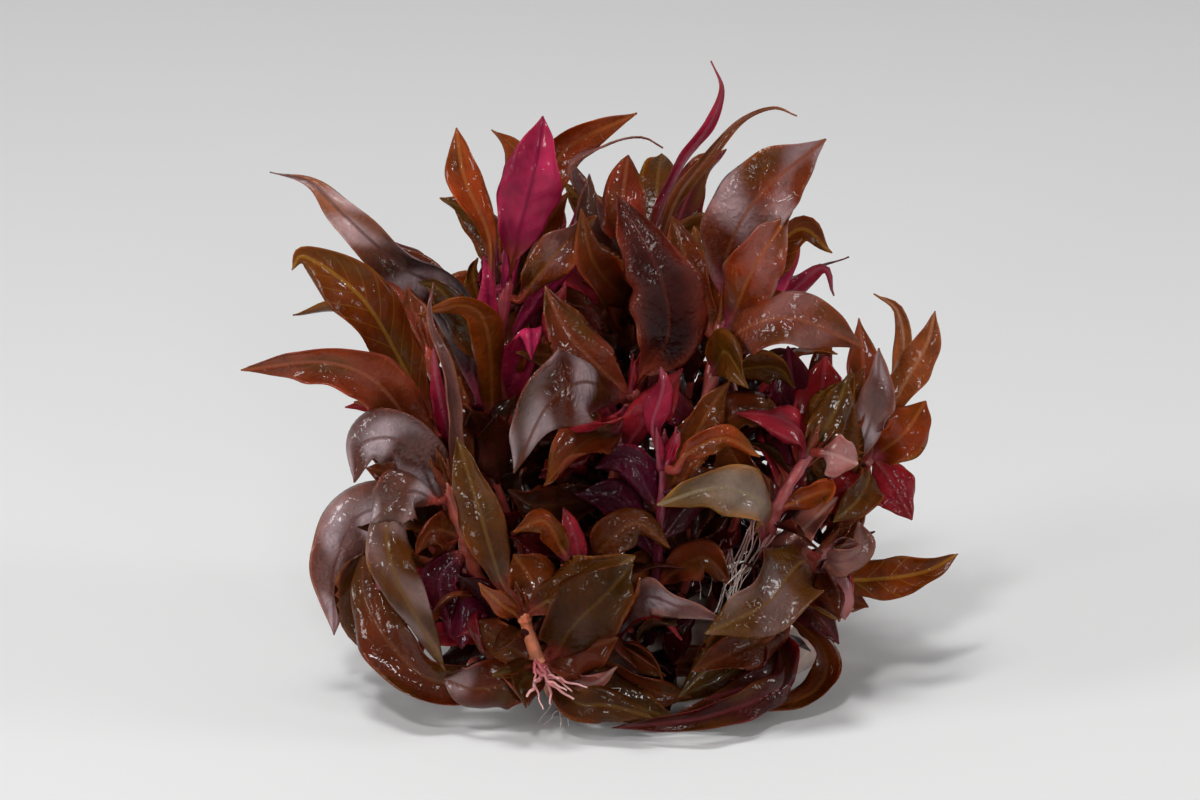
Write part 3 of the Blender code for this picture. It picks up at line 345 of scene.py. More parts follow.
        "stem": [onGel(14, -1), seen(22, 14.5, 8), seen(28.6, 22.6, 9)],
        "leaves": {
            "tan_kite": leaf(1.0, [(31, 28.4, 10), (33.6, 33, 10), (34.5, 36.5, 9)], 3.7, turn=-12),
            "lilac_pale": leaf(0.9, [(28.6, 27.5, 14), (28.9, 32.8, 14)], 3.9, turn=15),
            "olive_right": leaf(0.9, [(27.9, 19.8, 13), (26.8, 17.6, 15.5), (24.3, 15.4, 16)], 4.0,
                turn=-20),
        },
        "young": [
            leaf(0.5, [(26, 19, 10), (29.6, 17.2, 9)], 3.8, lie=(15, 0, 0), tone="crimson"),
            leaf(0.35, [(22.6, 15.6, 8), (27.5, 15.4, 6)], 4.2, lie=(-35, 12, 0), tone="umber"),
            leaf(0.6, [(22, 25, 10), (20.6, 30.4, 9)], 4.2, tone="olive"),
            leaf(0.97, [(31.5, 24.4, 11), (33.6, 27.6, 10)], 5.2, turn=20, lie=(5, 0, -15),
                tone="amber"),
            leaf(0.97, [(30, 19.6, 9), (32.2, 15.6, 9)], 4.3, face=away, tone="crimson"),
            leaf(0.85, [(28.4, 30, 9), (28.6, 35.8, 8)], 4.0, lie=(-5, 6, 0), tone="russet"),
            leaf(0.8, [(31, 30.4, 7), (31, 36.4, 7), (28.5, 38.4, 8)], 2.5, turn=35, lie=(-5, 0, 0),
                tone="tan"),
            leaf(0.75, [(25, 27, 13), (27.6, 31.4, 12)], 6.0, lie=(15, 6, 0), tone="olive"),
            leaf(0.6, [(24.5, 30, 7), (26.4, 35.4, 8)], 3.2, turn=20, lie=(0, 6, 0), tone="plum"),
        ],
    },
    "right_mid": {
        "stem": [onGel(15.5, -6), seen(18.4, 16, 15), seen(22, 22.5, 16.5)],
        "leaves": {
            "rose_white": leaf(1.0, [(24.2, 22.2, 19), (26.8, 21.2, 20)], 4.2, turn=10, cup=-10,
                sharp=0.8),
            "cream_broad": leaf(0.55, [(17, 17.4, 20.5), (12.5, 18.8, 23), (6.7, 17.1, 23)], 5.2,
                turn=5, cup=8),
        },
        "young": [
            leaf(0.75, [(21.8, 26.6, 12), (23.2, 31, 12)], 5.2, face=away, lie=(0, -18, 15),
                tone="crimson"),
            leaf(0.3, [(20.6, 14.4, 17), (22.6, 16.6, 18.4)], 3.4, lie=(-35, -6, -15), tone="rose"),
            leaf(0.88, [(24, 25.8, 14), (25.2, 29.4, 12)], 3.8, lie=(25, 0, 0), tone="olive"),
            leaf(0.5, [(20, 21.6, 14), (19.4, 25.6, 14)], 4.2, face=away, lie=(15, 0, 0),
                tone="plum"),
            leaf(0.97, [(20.8, 24.6, 18), (18, 26, 19), (14.5, 26.3, 18.5)], 4.2, face=away,
                turn=25, lie=(0, 0, 30), tone="crimson"),
            leaf(0.68, [(24, 18.6, 18), (22.8, 16.4, 19)], 2.7, tone="amber"),
            leaf(0.6, [(16, 22, 15), (15, 25, 16)], 5.5, lie=(-5, 12, -30), tone="umber"),
        ],
    },
    "right_low": {
        "stem": [onGel(17, -5), seen(20.5, 9.5, 12.5), seen(23.5, 12.6, 13)],
        "leaves": {
            "olive_glossy": leaf(0.9, [(20.4, 10.8, 18.5), (17.5, 7.2, 22), (11.5, 4.2, 22)], 7.2,
                turn=-10, cup=10, broadest=0.45),
            "ochre_wavy": leaf(0.85, [(26.5, 9.6, 10.5), (33, 10.3, 9), (36.8, 12.2, 8)], 4.2,
                turn=-6),
            "plum_sweep": leaf(0.1, [(19.6, 0.2, 16), (17.5, -2, 19), (11, -4.2, 22),
                (2.2, -5.2, 21)], 3.3, turn=-10, cup=14),
        },
        "young": [
            leaf(0.3, [(16.5, 3.6, 14.5), (13, 1.4, 17), (8, -1, 18)], 5.4, lie=(15, 0, 0),
                tone="umber"),
            leaf(0.2, [(23.4, 2.5, 11), (22.4, -1.5, 14), (16.5, -3.6, 18)], 3.2, tone="brown"),
            leaf(0.3, [(22.4, 6, 9), (25.4, 1.6, 9)], 4.4, lie=(-25, 0, 0), tone="rose"),
            leaf(0.6, [(25, 8, 10), (28.6, 6.6, 9)], 4.0, lie=(-10, 0, 0), tone="umber"),
            leaf(0.97, [(25, 11.4, 16), (27.2, 12.6, 15), (26.8, 15.6, 14)], 3.5, turn=20,
                tone="lilac"),
            leaf(0.8, [(24.8, 8.6, 14), (25.5, 5.6, 13)], 3.8, face=away, tone="rose"),
            leaf(0.7, [(23.4, 7, 15), (25.2, 5.4, 15.5)], 2.2, lie=(5, 0, 0), tone="cream"),
            leaf(0.4, [(24, 5.6, 11), (24.5, 3.2, 11)], 4.0, lie=(-30, 18, -15), tone="umber"),
            leaf(0.2, [(17, 7.6, 16), (13.8, 5.8, 18)], 1.8, face=away, lie=(35, -18, -15),
                tone="plum"),
        ],
    },
}

# Tufts of fine roots: the knot they grow from, the spots where they end, how many fibres go to
# each spot, how far apart they start, and their radius from the finest to the thickest
rootTufts = {
    "roots_front": {
        "knot": seen(-3, -1.4, 16.5),
        "tips": [
            seen(-2.6, -5, 19), seen(-0.6, -4.6, 20), seen(1.6, -4, 20.5), seen(2.6, -1.4, 19.5),
            seen(-4.8, -4.6, 18.5),
        ],
        "fibres": 2,
        "apart": 0.5,
        "radius": (0.07, 0.14),
    },
    "roots_right": {
        "knot": seen(13.4, 12.8, 12.5),
        "tips": [
            seen(12.4, 5.6, 14.5), seen(13.6, 6.6, 15), seen(14.9, 5.2, 15), seen(11.4, 7.4, 14),
            seen(10.2, 9.6, 14.5),
        ],
        "fibres": 2,
        "apart": 0.7,
        "radius": (0.06, 0.12),
    },
}
# Thick young roots at the foot of the front plantlet, and strands that hang down on the right
moreRoots = {
    "roots_front": {
        "knot": seen(-5, 0.9, 22.8),
        "tips": [
            seen(-5.8, -2.2, 24.4), seen(-4.9, -2.9, 24.6), seen(-3.9, -2.4, 24.6),
            seen(-2.7, -1.6, 24.6), seen(-1.3, -1.3, 24.4), seen(0.2, -1.7, 24),
            seen(-3.4, -0.4, 24.8), seen(-1.9, -2.8, 24.2),
        ],
        "fibres": 1,
        "apart": 0.5,
        "radius": (0.16, 0.28),
        "colours": ("#A03C48", "#D49C98"),
    },
    "roots_right": {
        "knot": seen(17.2, 14.6, 15.6),
        "tips": [seen(14.2, 8.6, 17), seen(13.4, 6.4, 17)],
        "fibres": 6,
        "apart": 1.3,
        "radius": (0.07, 0.11),
    },
}

# The plantlets of the back follow one rule: bearing behind the clump, height of the top, which
# leaf is large, and how the young ones have settled
backPlantlets = {
    "back_right": (25, 30.0, 6, {1: (5, 0, -15), 2: (-10, 0, 0), 9: (10, 0, 0)}),
    "back_middle_right": (66, 36.0, 6, {1: (-5, 0, 15), 5: (0, 0, -15), 9: (-10, 0, 0)}),
    "back_middle_left": (108, 33.0, 5, {1: (0, 6, 0), 9: (-15, 0, 0)}),
    "back_left": (150, 30.0, 2, {1: (-5, 0, 15), 5: (10, 0, -15), 7: (-5, 0, 0), 8: (-10, 0, 0),
                                 9: (-35, 0, 0)}),
}
# More young leaves, by the plantlet that bears them: pressed round the foot of the clump, and
# between the large ones
moreLeaves = {
    "front_low": [
        leaf(0.3, [(-1.6, 2.4, 21), (2.8, 3.8, 21.5)], 5.4, turn=10, tone="umber"),
        leaf(0.05, [(1.2, -1.4, 18.5), (5.6, -3.4, 19.5), (8.6, -4.2, 19)], 4.4, turn=-15, tone="olive"),
        leaf(0.05, [(2.4, -0.4, 17.5), (6.6, -1.6, 18.5), (10.4, -2.2, 18)], 4.2, turn=15, tone="umber"),
        leaf(0.12, [(-8, 0.4, 22.6), (-9.8, 0, 22.8)], 2.6, turn=20, tone="olive"),
        leaf(0.1, [(-7, -0.8, 22.8), (-6.4, -3.2, 23)], 3.0, tone="olive"),
    ],
    "centre": [
        leaf(0.2, [(5.6, 7, 18.5), (9.2, 3.6, 20)], 3.0, turn=-25, tone="crimson"),
        leaf(0.08, [(5, 2.6, 17.5), (7.4, -0.6, 19)], 3.6, tone="umber"),
        leaf(0.1, [(2, 4.4, 17), (4.6, 0.8, 18.6)], 4.0, turn=20, tone="umber"),
    ],
    "right_low": [
        leaf(0.12, [(14.4, 3.2, 17), (11.4, 0.4, 18.4), (8.8, -2.2, 19)], 5.0, turn=15, tone="olive"),
        leaf(0.1, [(18.6, 0.4, 16.6), (14.6, -1.4, 18.6), (11.4, -2.4, 19.5)], 4.2, turn=-20, tone="plum"),
        leaf(0.15, [(17, 4.4, 15.5), (14.6, 2.6, 16.4)], 3.4, turn=20, tone="umber"),
        leaf(0.1, [(16.6, -1.6, 17), (11.6, -3.6, 18.4), (7.8, -4.2, 19)], 4.8, turn=10, tone="umber"),
        leaf(0.1, [(15.6, 1.6, 16), (10.6, -1.4, 17.6), (7.4, -2.6, 18)], 4.6, turn=-10, tone="olive"),
        leaf(0.5, [(24.2, 10.6, 12.5), (25.2, 8, 13), (24.9, 5.4, 13)], 2.8, tone="crimson"),
        leaf(0.3, [(22.6, 6.2, 13), (24.9, 3.2, 12.5)], 3.2, turn=-10, tone="plum"),
        leaf(0.6, [(23.6, 12.4, 12.5), (27, 13.4, 12)], 4.0, cup=60, turn=15, tone="rose"),
    ],
    "left_low": [
        leaf(0.3, [(-14.2, 7.8, 18), (-16.4, 4.6, 19)], 4.4, turn=-15, tone="umber"),
        leaf(0.2, [(-12.2, 5.4, 17), (-10.6, 2.4, 18.4)], 3.8, turn=15, tone="crimson"),
        leaf(0.75, [(-15.8, 14.6, 20), (-17.4, 12.2, 20.6)], 3.8, turn=-10, tone="umber"),
        leaf(0.9, [(-17.8, 19.6, 16.5), (-22.4, 20.8, 15)], 5.0, tone="umber"),
        leaf(0.2, [(-14, 8.6, 14.5), (-20.6, 7.2, 12.5)], 5.4, tone="wine"),
        leaf(0.8, [(-15.4, 13.6, 15), (-19.4, 12.8, 13)], 4.6, tone="umber"),
    ],
    "left": [
        leaf(0.45, [(-16.6, 24.4, 15), (-19.4, 21, 16)], 4.2, turn=10, tone="umber"),
        leaf(0.35, [(-13, 19, 15), (-10.8, 14.6, 16.4)], 4.4, tone="brown"),
        leaf(0.9, [(-17.2, 34, 12.5), (-18.2, 39, 11.5)], 4.2, tone="russet"),
        leaf(0.5, [(-13.6, 26, 11.5), (-13, 30, 10)], 4.6, tone="umber"),
        # these two are painted dark as shade, deep in the clump
        leaf(0.5, [(-16, 28.5, 8), (-18.5, 32, 7)], 7, tone="umber", deep=0.3),
        leaf(0.3, [(-17, 19.5, 9), (-22, 22, 8)], 6, tone="umber", deep=0.3),
    ],
    "top": [
        leaf(0.9, [(-7.2, 40, 11), (-5.6, 44.4, 9)], 4.0, tone="olive"),
        leaf(0.95, [(-9.4, 38.6, 10), (-9.4, 43.4, 8)], 3.8, tone="wine"),
        leaf(0.95, [(-5.4, 43.6, 9), (-2.2, 48.4, 6)], 3.8, tone="amber"),
        leaf(0.7, [(-8, 32.6, 11.5), (-6.6, 37.2, 10.5)], 4.4, tone="umber"),
    ],
    "middle": [
        # wide leaves at the back, painted dark as shade, deep in the clump
        leaf(0.5, [(-3, 20, 6), (-8, 22, 5)], 8.5, tone="umber", deep=0.25),
        leaf(0.6, [(0, 24, 4), (-4, 28.5, 3)], 8, tone="wine", deep=0.25),
        leaf(0.4, [(5, 19, 5), (8.5, 22.5, 4)], 8, tone="umber", deep=0.25),
        leaf(0.3, [(-2, 15, 7), (-7, 17, 7)], 8, tone="umber", deep=0.25),
        leaf(0.3, [(7, 14, 7), (12, 16, 6)], 8, tone="umber", deep=0.25),
    ],
    "tall": [
        # painted dark as shade, deep in the clump
        leaf(0.4, [(5, 28, 0), (10, 31, -1)], 8, tone="umber", deep=0.25),
        leaf(0.85, [(2, 44, 2), (-2.6, 49.4, 1)], 4.4, tone="olive"),
        leaf(0.6, [(1, 35.6, 5), (-2.8, 40, 5)], 5.6, tone="umber"),
    ],
    "right_top": [
        leaf(0.9, [(11.4, 39.6, 12), (10.4, 45, 10)], 4.4, tone="brown"),
    ],
    "right_mid": [
        leaf(0.8, [(20.4, 26.6, 13.5), (19.8, 33, 12)], 6.4, tone="wine"),
        leaf(0.9, [(22.8, 26.4, 13.5), (23.6, 32, 12)], 6.4, tone="crimson"),
        leaf(0.9, [(24.8, 26, 13), (27.4, 30.8, 12)], 5.0, tone="umber"),
    ],
    "right": [
        leaf(0.6, [(25, 14.6, 11.5), (27.6, 16.4, 10.5)], 3.8, tone="umber"),
    ],
}
# What the plantlets of the back have in common
backMake = {
    "around": (4.0, 2.0),  # they stand in a ring round this spot
    "ring": 7.5,
    "lean": 15,  # how far out the top of the stem is
    "knee": (0.45, 0.55, 2.0),  # shares of foot and top in the stem's bend, and how far it bulges
    "pairs": 5,
    "spread": (24, 62),  # degrees from the stem's bearing, turn by turn
    "stray": 9,
    "at": (0.22, 0.76),  # where the lowest pair leaves the stem, and how much of it the pairs take
    "length": 15.5,
    "longer": (0.82, 0.3, 0.08),  # share at the foot, how much more at the top, and its chance part
    "climb": (-0.42, 1.25, 0.08),
    "arch": (0.1, -0.06),  # how far the middle and the tip lie above the straight way
    "wide": 5.2,
    "wider": (0.9, 0.18),
    "turn": 16,
    "twist": 25,
    "tones": ("brown", "umber", "russet", "olive", "umber", "crimson", "amber", "brown", "plum", "olive"),
}


def smoothLine(points, shares):
    # One smooth curve through all the points, read at these shares of its length: between two
    # points it is the cubic whose slopes run parallel to the chord of their neighbours
    points = np.array(points, float)
    ends = np.vstack([2 * points[0] - points[1], points, 2 * points[-1] - points[-2]])
    p0, p1, p2, p3 = (ends[k : len(ends) - 3 + k, None, :] for k in range(4))
    u = np.linspace(0, 1, 40, endpoint=False)[None, :, None]
    runs = 0.5 * (2 * p1 + (p2 - p0) * u + (2 * p0 - 5 * p1 + 4 * p2 - p3) * u**2
                  + (3 * p1 - p0 - 3 * p2 + p3) * u**3)
    line = np.vstack([runs.reshape(-1, 3), points[-1:]])
    gone = np.concatenate([[0], np.cumsum(np.linalg.norm(np.diff(line, axis=0), axis=1))])
    wanted = np.asarray(shares) * gone[-1]
    return np.stack([np.interp(wanted, gone, line[:, axis]) for axis in range(3)], axis=1)


def turned(vectors, axis, angle):
    # Vectors turned about an axis through the origin
    axis = unit(axis)
    along = (vectors @ axis)[..., None] * axis
    across = np.cross(axis, vectors)
    return vectors * math.cos(angle) + across * math.sin(angle) + along * (1 - math.cos(angle))


def level(bearing):
    # The level direction with this bearing
    return np.array([math.cos(bearing), math.sin(bearing), 0])


def backPlantlet(number, bearing, height, large, lies):
    # A stem that leans outward with pairs of leaves, each pair turned from the one below it,
    # drooping low on the stem and standing up at its top
    make = backMake
    chance = np.random.default_rng(40 + number)
    outward = level(math.radians(bearing))
    foot = onGel(*(np.array(make["around"]) + outward[:2] * make["ring"]))
    top = outward * make["lean"] + upward * height
    knee = foot * make["knee"][0] + top * make["knee"][1] + outward * make["knee"][2]

    def between(low, more, stray):
        # From low by that much more over the pairs, plus or minus a chance part
        return low + more * share + chance.uniform(-stray, stray)

    leaves = []
    for pair in range(make["pairs"]):
        share = pair / (make["pairs"] - 1)
        for side in (-1, 1):
            spread = side * make["spread"][pair % 2] + chance.uniform(-make["stray"], make["stray"])
            heading = turned(outward, upward, math.radians(spread))
            length = make["length"] * between(*make["longer"])
            climb = between(*make["climb"])
            start = make["at"][0] + make["at"][1] * share
            origin = smoothLine([foot, knee, top], [start])[0]
            run = heading * math.cos(climb) + upward * math.sin(climb)
            leaves.append(leafOf(
                start,
                [origin + run * length * 0.55 + upward * length * make["arch"][0],
                 origin + run * length + upward * length * make["arch"][1]],
                make["wide"] * (make["wider"][0] + chance.uniform(-make["wider"][1], make["wider"][1])),
                upward * 0.9 - heading * 0.25,
                turn=chance.uniform(-make["turn"], make["turn"]),
                twist=chance.uniform(-make["twist"], make["twist"]),
                cup=14,
                tone=make["tones"][len(leaves)],
            ))
    title = f"brown_{list(backPlantlets)[number]}"
    young = [entry for place, entry in enumerate(leaves) if place != large]
    for place, entry in enumerate(young):
        entry["lie"] = lies.get(place + 1, (0, 0, 0))
    return {"stem": [foot, knee, top], "leaves": {title: leaves[large]}, "young": young}


for number, (name, rule) in enumerate(backPlantlets.items()):
    plantlets[name] = backPlantlet(number, *rule)
print(f"{len(plantlets)} plantlets set out")

# Colours of a dry leaf: upper side, under side, lateral veins and midrib, and the tip
leafTones = {
    "amber": ("#9A3C10", "#A64222", "#B4642A", "#824212"),
    "russet": ("#8A3A1E", "#A44036", "#A85A3A", "#7C3E1A"),
    "magenta": ("#AC1E42", "#C42A5A", "#98184A", "#B42C50"),
    "olive": ("#603208", "#703A16", "#805A24", "#664410"),
    "umber": ("#702A0C", "#8E3A28", "#884824", "#743810"),
    "slate": ("#6A4238", "#70483E", "#6A4036", "#624030"),
    # lilac's pale greyish upper side is partly painted sheen
    "lilac": ("#8C5E56", "#905E58", "#845450", "#7E564A"),
    "pink": ("#961028", "#AC1C3E", "#C45C72", "#9C3C38"),
    # cream's pinkish-white upper side is partly painted sheen
    "cream": ("#A68A78", "#966440", "#AA9070", "#80581C"),
    "tan": ("#A8562A", "#B06244", "#C48460", "#905226"),
    "rose": ("#B46258", "#C88484", "#D49C94", "#A0523C"),
    "ochre": ("#7C3604", "#8C4616", "#AC7826", "#74420A"),
    "plum": ("#4C1614", "#822032", "#7E3238", "#5E2414"),
    "brown": ("#823808", "#923E1C", "#9A5622", "#743A0A"),
    "crimson": ("#A81C22", "#A82432", "#B0404A", "#7E1E16"),
    "brick": ("#A03818", "#AE3828", "#BC6240", "#883C16"),
    "wine": ("#5C0A20", "#7A123A", "#863050", "#5E161A"),
    "dusk": ("#42120A", "#6A1E12", "#642416", "#7A3828"),
    "ash": ("#3C2620", "#5A3A34", "#644440", "#AC6848"),
}

# Single leaves that differ from the rest of their colour, and leaves with deeper or finer wrinkles
ownTones = {"umber_tall": "dusk", "russet_curl": "ash"}
ownCreases = {
    "russet_rugose": 1.0, "umber_glossy": 1.0, "umber_tall": 0.8, "brown_dome": 0.8, "olive_glossy": 0.8,
    "magenta_upright": 0.15, "russet_flat": 0.5, "ochre_broad": 0.3, "amber_upright": 0.3,
    "slate_broad": 0.8, "slate_dome": 0.8, "lilac_hanging": 0.7, "tan_kite": 0.6, "russet_long": 0.9,
}
# How much of them the water covers, and leaves darkened by painted shade, deeper in the clump
ownFilms = {
    "umber_tall": 0.5, "brown_dome": 0.5, "olive_broad": 0.55, "pink_upright": 0.5, "amber_upright": 0.5,
    "russet_rugose": 1.0, "umber_glossy": 1.0, "slate_broad": 1.0, "slate_dome": 1.0, "lilac_hanging": 1.0,
    "olive_glossy": 1.0, "russet_long": 0.9, "lilac_pale": 0.9, "rose_white": 1.0, "cream_broad": 0.8,
    "ochre_broad": 0.4, "ochre_wavy": 0.4, "magenta_upright": 0.4,
}
ownPaintedShade = {
    "umber_boat": 0.85, "umber_low": 0.6, "plum_sweep": 0.7, "umber_glossy": 0.6, "brown_dome": 0.5,
    "olive_broad": 0.6, "umber_tall": 0.75,
}
# Painted sheen in patches: a pale milky colour painted over the leaf in place of the reflection off the
# film of water where it lies thick: its colour, and how much each leaf has
bloomColour = "#B09CA0"
ownPaintedSheens = {
    "russet_rugose": 0.45, "umber_glossy": 0.5, "slate_broad": 0.95, "slate_dome": 0.75,
    "lilac_hanging": 0.9, "russet_long": 0.12, "russet_curl": 0.55, "lilac_pale": 0.7,
    "lilac_band": 0.65, "olive_curl": 0.18, "rose_white": 0.2, "amber_fan": 0.15,
    "umber_low": 0.25, "olive_glossy": 0.15, "amber_right": 0.15,
}

# From where to where along the leaf its tip's tone comes in, and how fully; tones whose edges have
# a colour of their own; and tones without brown patches
tipBlend = {"usual": (0.6, 1, 0.6), "ash": (0.45, 0.8, 1.0), "cream": (0.5, 0.9, 0.9)}
rimTones = {"cream": "#7A4C10", "slate": "#4A241C", "lilac": "#7A4A3C", "dusk": "#5E2216"}
evenTones = ("magenta", "pink", "rose", "lilac", "slate", "crimson", "wine", "dusk", "ash")

# How strongly the lateral veins stand out from the blade, where it isn't as usual
veinShow = {"usual": 0.14, "ochre": 0.4, "olive": 0.12, "cream": 0.15, "magenta": 0.2}

# What sets the fine shape of a leaf, in millimetres
leafMake = {
    "wetDark": 0.55,  # what the film of water leaves of the tones above
    "begin": (0.28, 1.6),  # how far from the stem's middle a young and a large leaf begin
    "stalkRows": 6,  # rows of the stalk that joins a large leaf to its stem
    "lowest": 0.3,  # no leaf hangs lower than this above the ground
    "crowded": 1.4,  # how much closer the grid's columns are at the midrib than at the edge
    "curl": 28,  # degrees that an edge rolls up or down here and there
    "largeGrid": (64, 20),
    "youngGrid": (30, 10),
    "blade": 0.18,  # thickness
    "rimSharp": 0.35,  # the power by which the blade thins out at its edge
    "petiole": 0.4,  # radius of its stalk
    "stalkLeast": 0.1,  # radius of the midrib at the tip
    "groove": (0.1, 0.25),  # depth and half width of the furrow over the midrib
    "veinGap": 2.3,  # from one lateral vein to the next
    "veinSlant": 0.17,  # how far the veins run forward, as a share of the length
    "puff": 0.05,  # how far the blade swells between two veins
    "creased": (0.25, 0.75),  # depth of the finest wrinkles, from nearly smooth to the deepest
    "film": (0.35, 0.9),  # how much of the leaf the film of water covers
    "wave": 0.36,  # how far the edge rises and falls
    "waveLength": 5.5,
    "uneven": 0.04,  # how much the two edges' outline wanders, as a share of the width
}

# What sets how its colour varies
paintMake = {
    "lighter": (0.86, 1.16),  # from the darkest leaf of a tone to the lightest
    "hue": 0.06,
    "blotch": 0.32,
    "patch": "#4C2C08",  # brown patches, and how fully they show
    "patchShare": (0.25, 0.8),
    "footShade": 0.5,  # painted shade: what is left of the colour at the start of the blade
    "stalks": ("#9C3C26", "#A03E34", "#A03A50"),
    "stalkWidth": 1.6,
    "rim": 0.75,
    "edge": 0.25,  # how much lighter the very edge is: partly its own paler rim, partly a painted glow of light through the thin edge
    "ground": (2, 15, 0.6),  # between these heights young leaves get light, below only this share
}


def carriedAlong(path, face, shares):
    # Directions ahead and outward along the path. The outward one is the wanted face in the
    # middle of the path, carried to both ends without turning about it
    steps = 32
    rib = smoothLine(path, np.linspace(0, 1, steps + 1))
    ahead = unit(np.gradient(rib, axis=0))
    middle = ahead[steps // 2]
    start = face - middle * (middle @ face)
    if np.linalg.norm(start) < 0.35:
        start = upward - middle * middle[2]
    normal = np.tile(start, (steps + 1, 1))
    for step in range(steps // 2 + 1, steps + 1):
        normal[step] = normal[step - 1] - ahead[step] * (ahead[step] @ normal[step - 1])
    for step in range(steps // 2 - 1, -1, -1):
        normal[step] = normal[step + 1] - ahead[step] * (ahead[step] @ normal[step + 1])
    normal = unit(normal)
    places = np.linspace(0, 1, steps + 1)
    ahead, normal = (
        np.stack([np.interp(shares, places, field[:, axis]) for axis in range(3)], axis=1)
        for field in (ahead, normal)
    )
    ahead = unit(ahead)
    return ahead, unit(normal - ahead * (ahead * normal).sum(axis=1, keepdims=True))


def leafBase(stem, entry, grownOn):
    # The place on the stem's middle line where the leaf grows, and where its own path begins
    at = min(entry["at"], 0.96) if grownOn else entry["at"]
    root = smoothLine(stem, [at])[0]
    out = entry["path"][0] - root
    if at < 0.99:
        along = np.subtract(*smoothLine(stem, [min(1, at + 0.05), max(0, at - 0.05)]))
        along = unit(along)
        out = out - along * (out @ along)
    return root, root + unit(out) * leafMake["begin"][0 if grownOn else 1]


def ringShell(points, paint):
    # A closed shell from rings of points: four-cornered faces between neighbouring rings, and a
    # fan to the middle of the first and of the last ring. Turned so that its faces look outward
    rows, count = points.shape[:2]
    places = np.vstack([points.reshape(-1, 3), points[0].mean(axis=0), points[-1].mean(axis=0)])
    row, column = np.meshgrid(np.arange(rows - 1), np.arange(count), indexing="ij")
    beside = (column + 1) % count
    quads = np.stack([row * count + column, row * count + beside,
                      (row + 1) * count + beside, (row + 1) * count + column], axis=-1).reshape(-1, 4)
    start = np.arange(count)
    end = (start + 1) % count
    first, last = np.full(count, rows * count), np.full(count, rows * count + 1)
    fans = np.vstack([np.stack([first, end, start], axis=1),
                      np.stack([last, start, end], axis=1) + [0, (rows - 1) * count, (rows - 1) * count]])
    corners = places[np.vstack([quads[:, [0, 1, 2]], quads[:, [0, 2, 3]], fans])]
    volume = (corners[:, 0] * np.cross(corners[:, 1], corners[:, 2])).sum()
    if volume < 0:
        quads, fans = quads[:, ::-1], fans[:, ::-1]
    shell = {"places": places, "quads": quads, "fans": fans}
    for field, values in paint.items():
        shell[field] = np.vstack([values.reshape(-1, 3), values[0].mean(axis=0), values[-1].mean(axis=0)])
    return shell


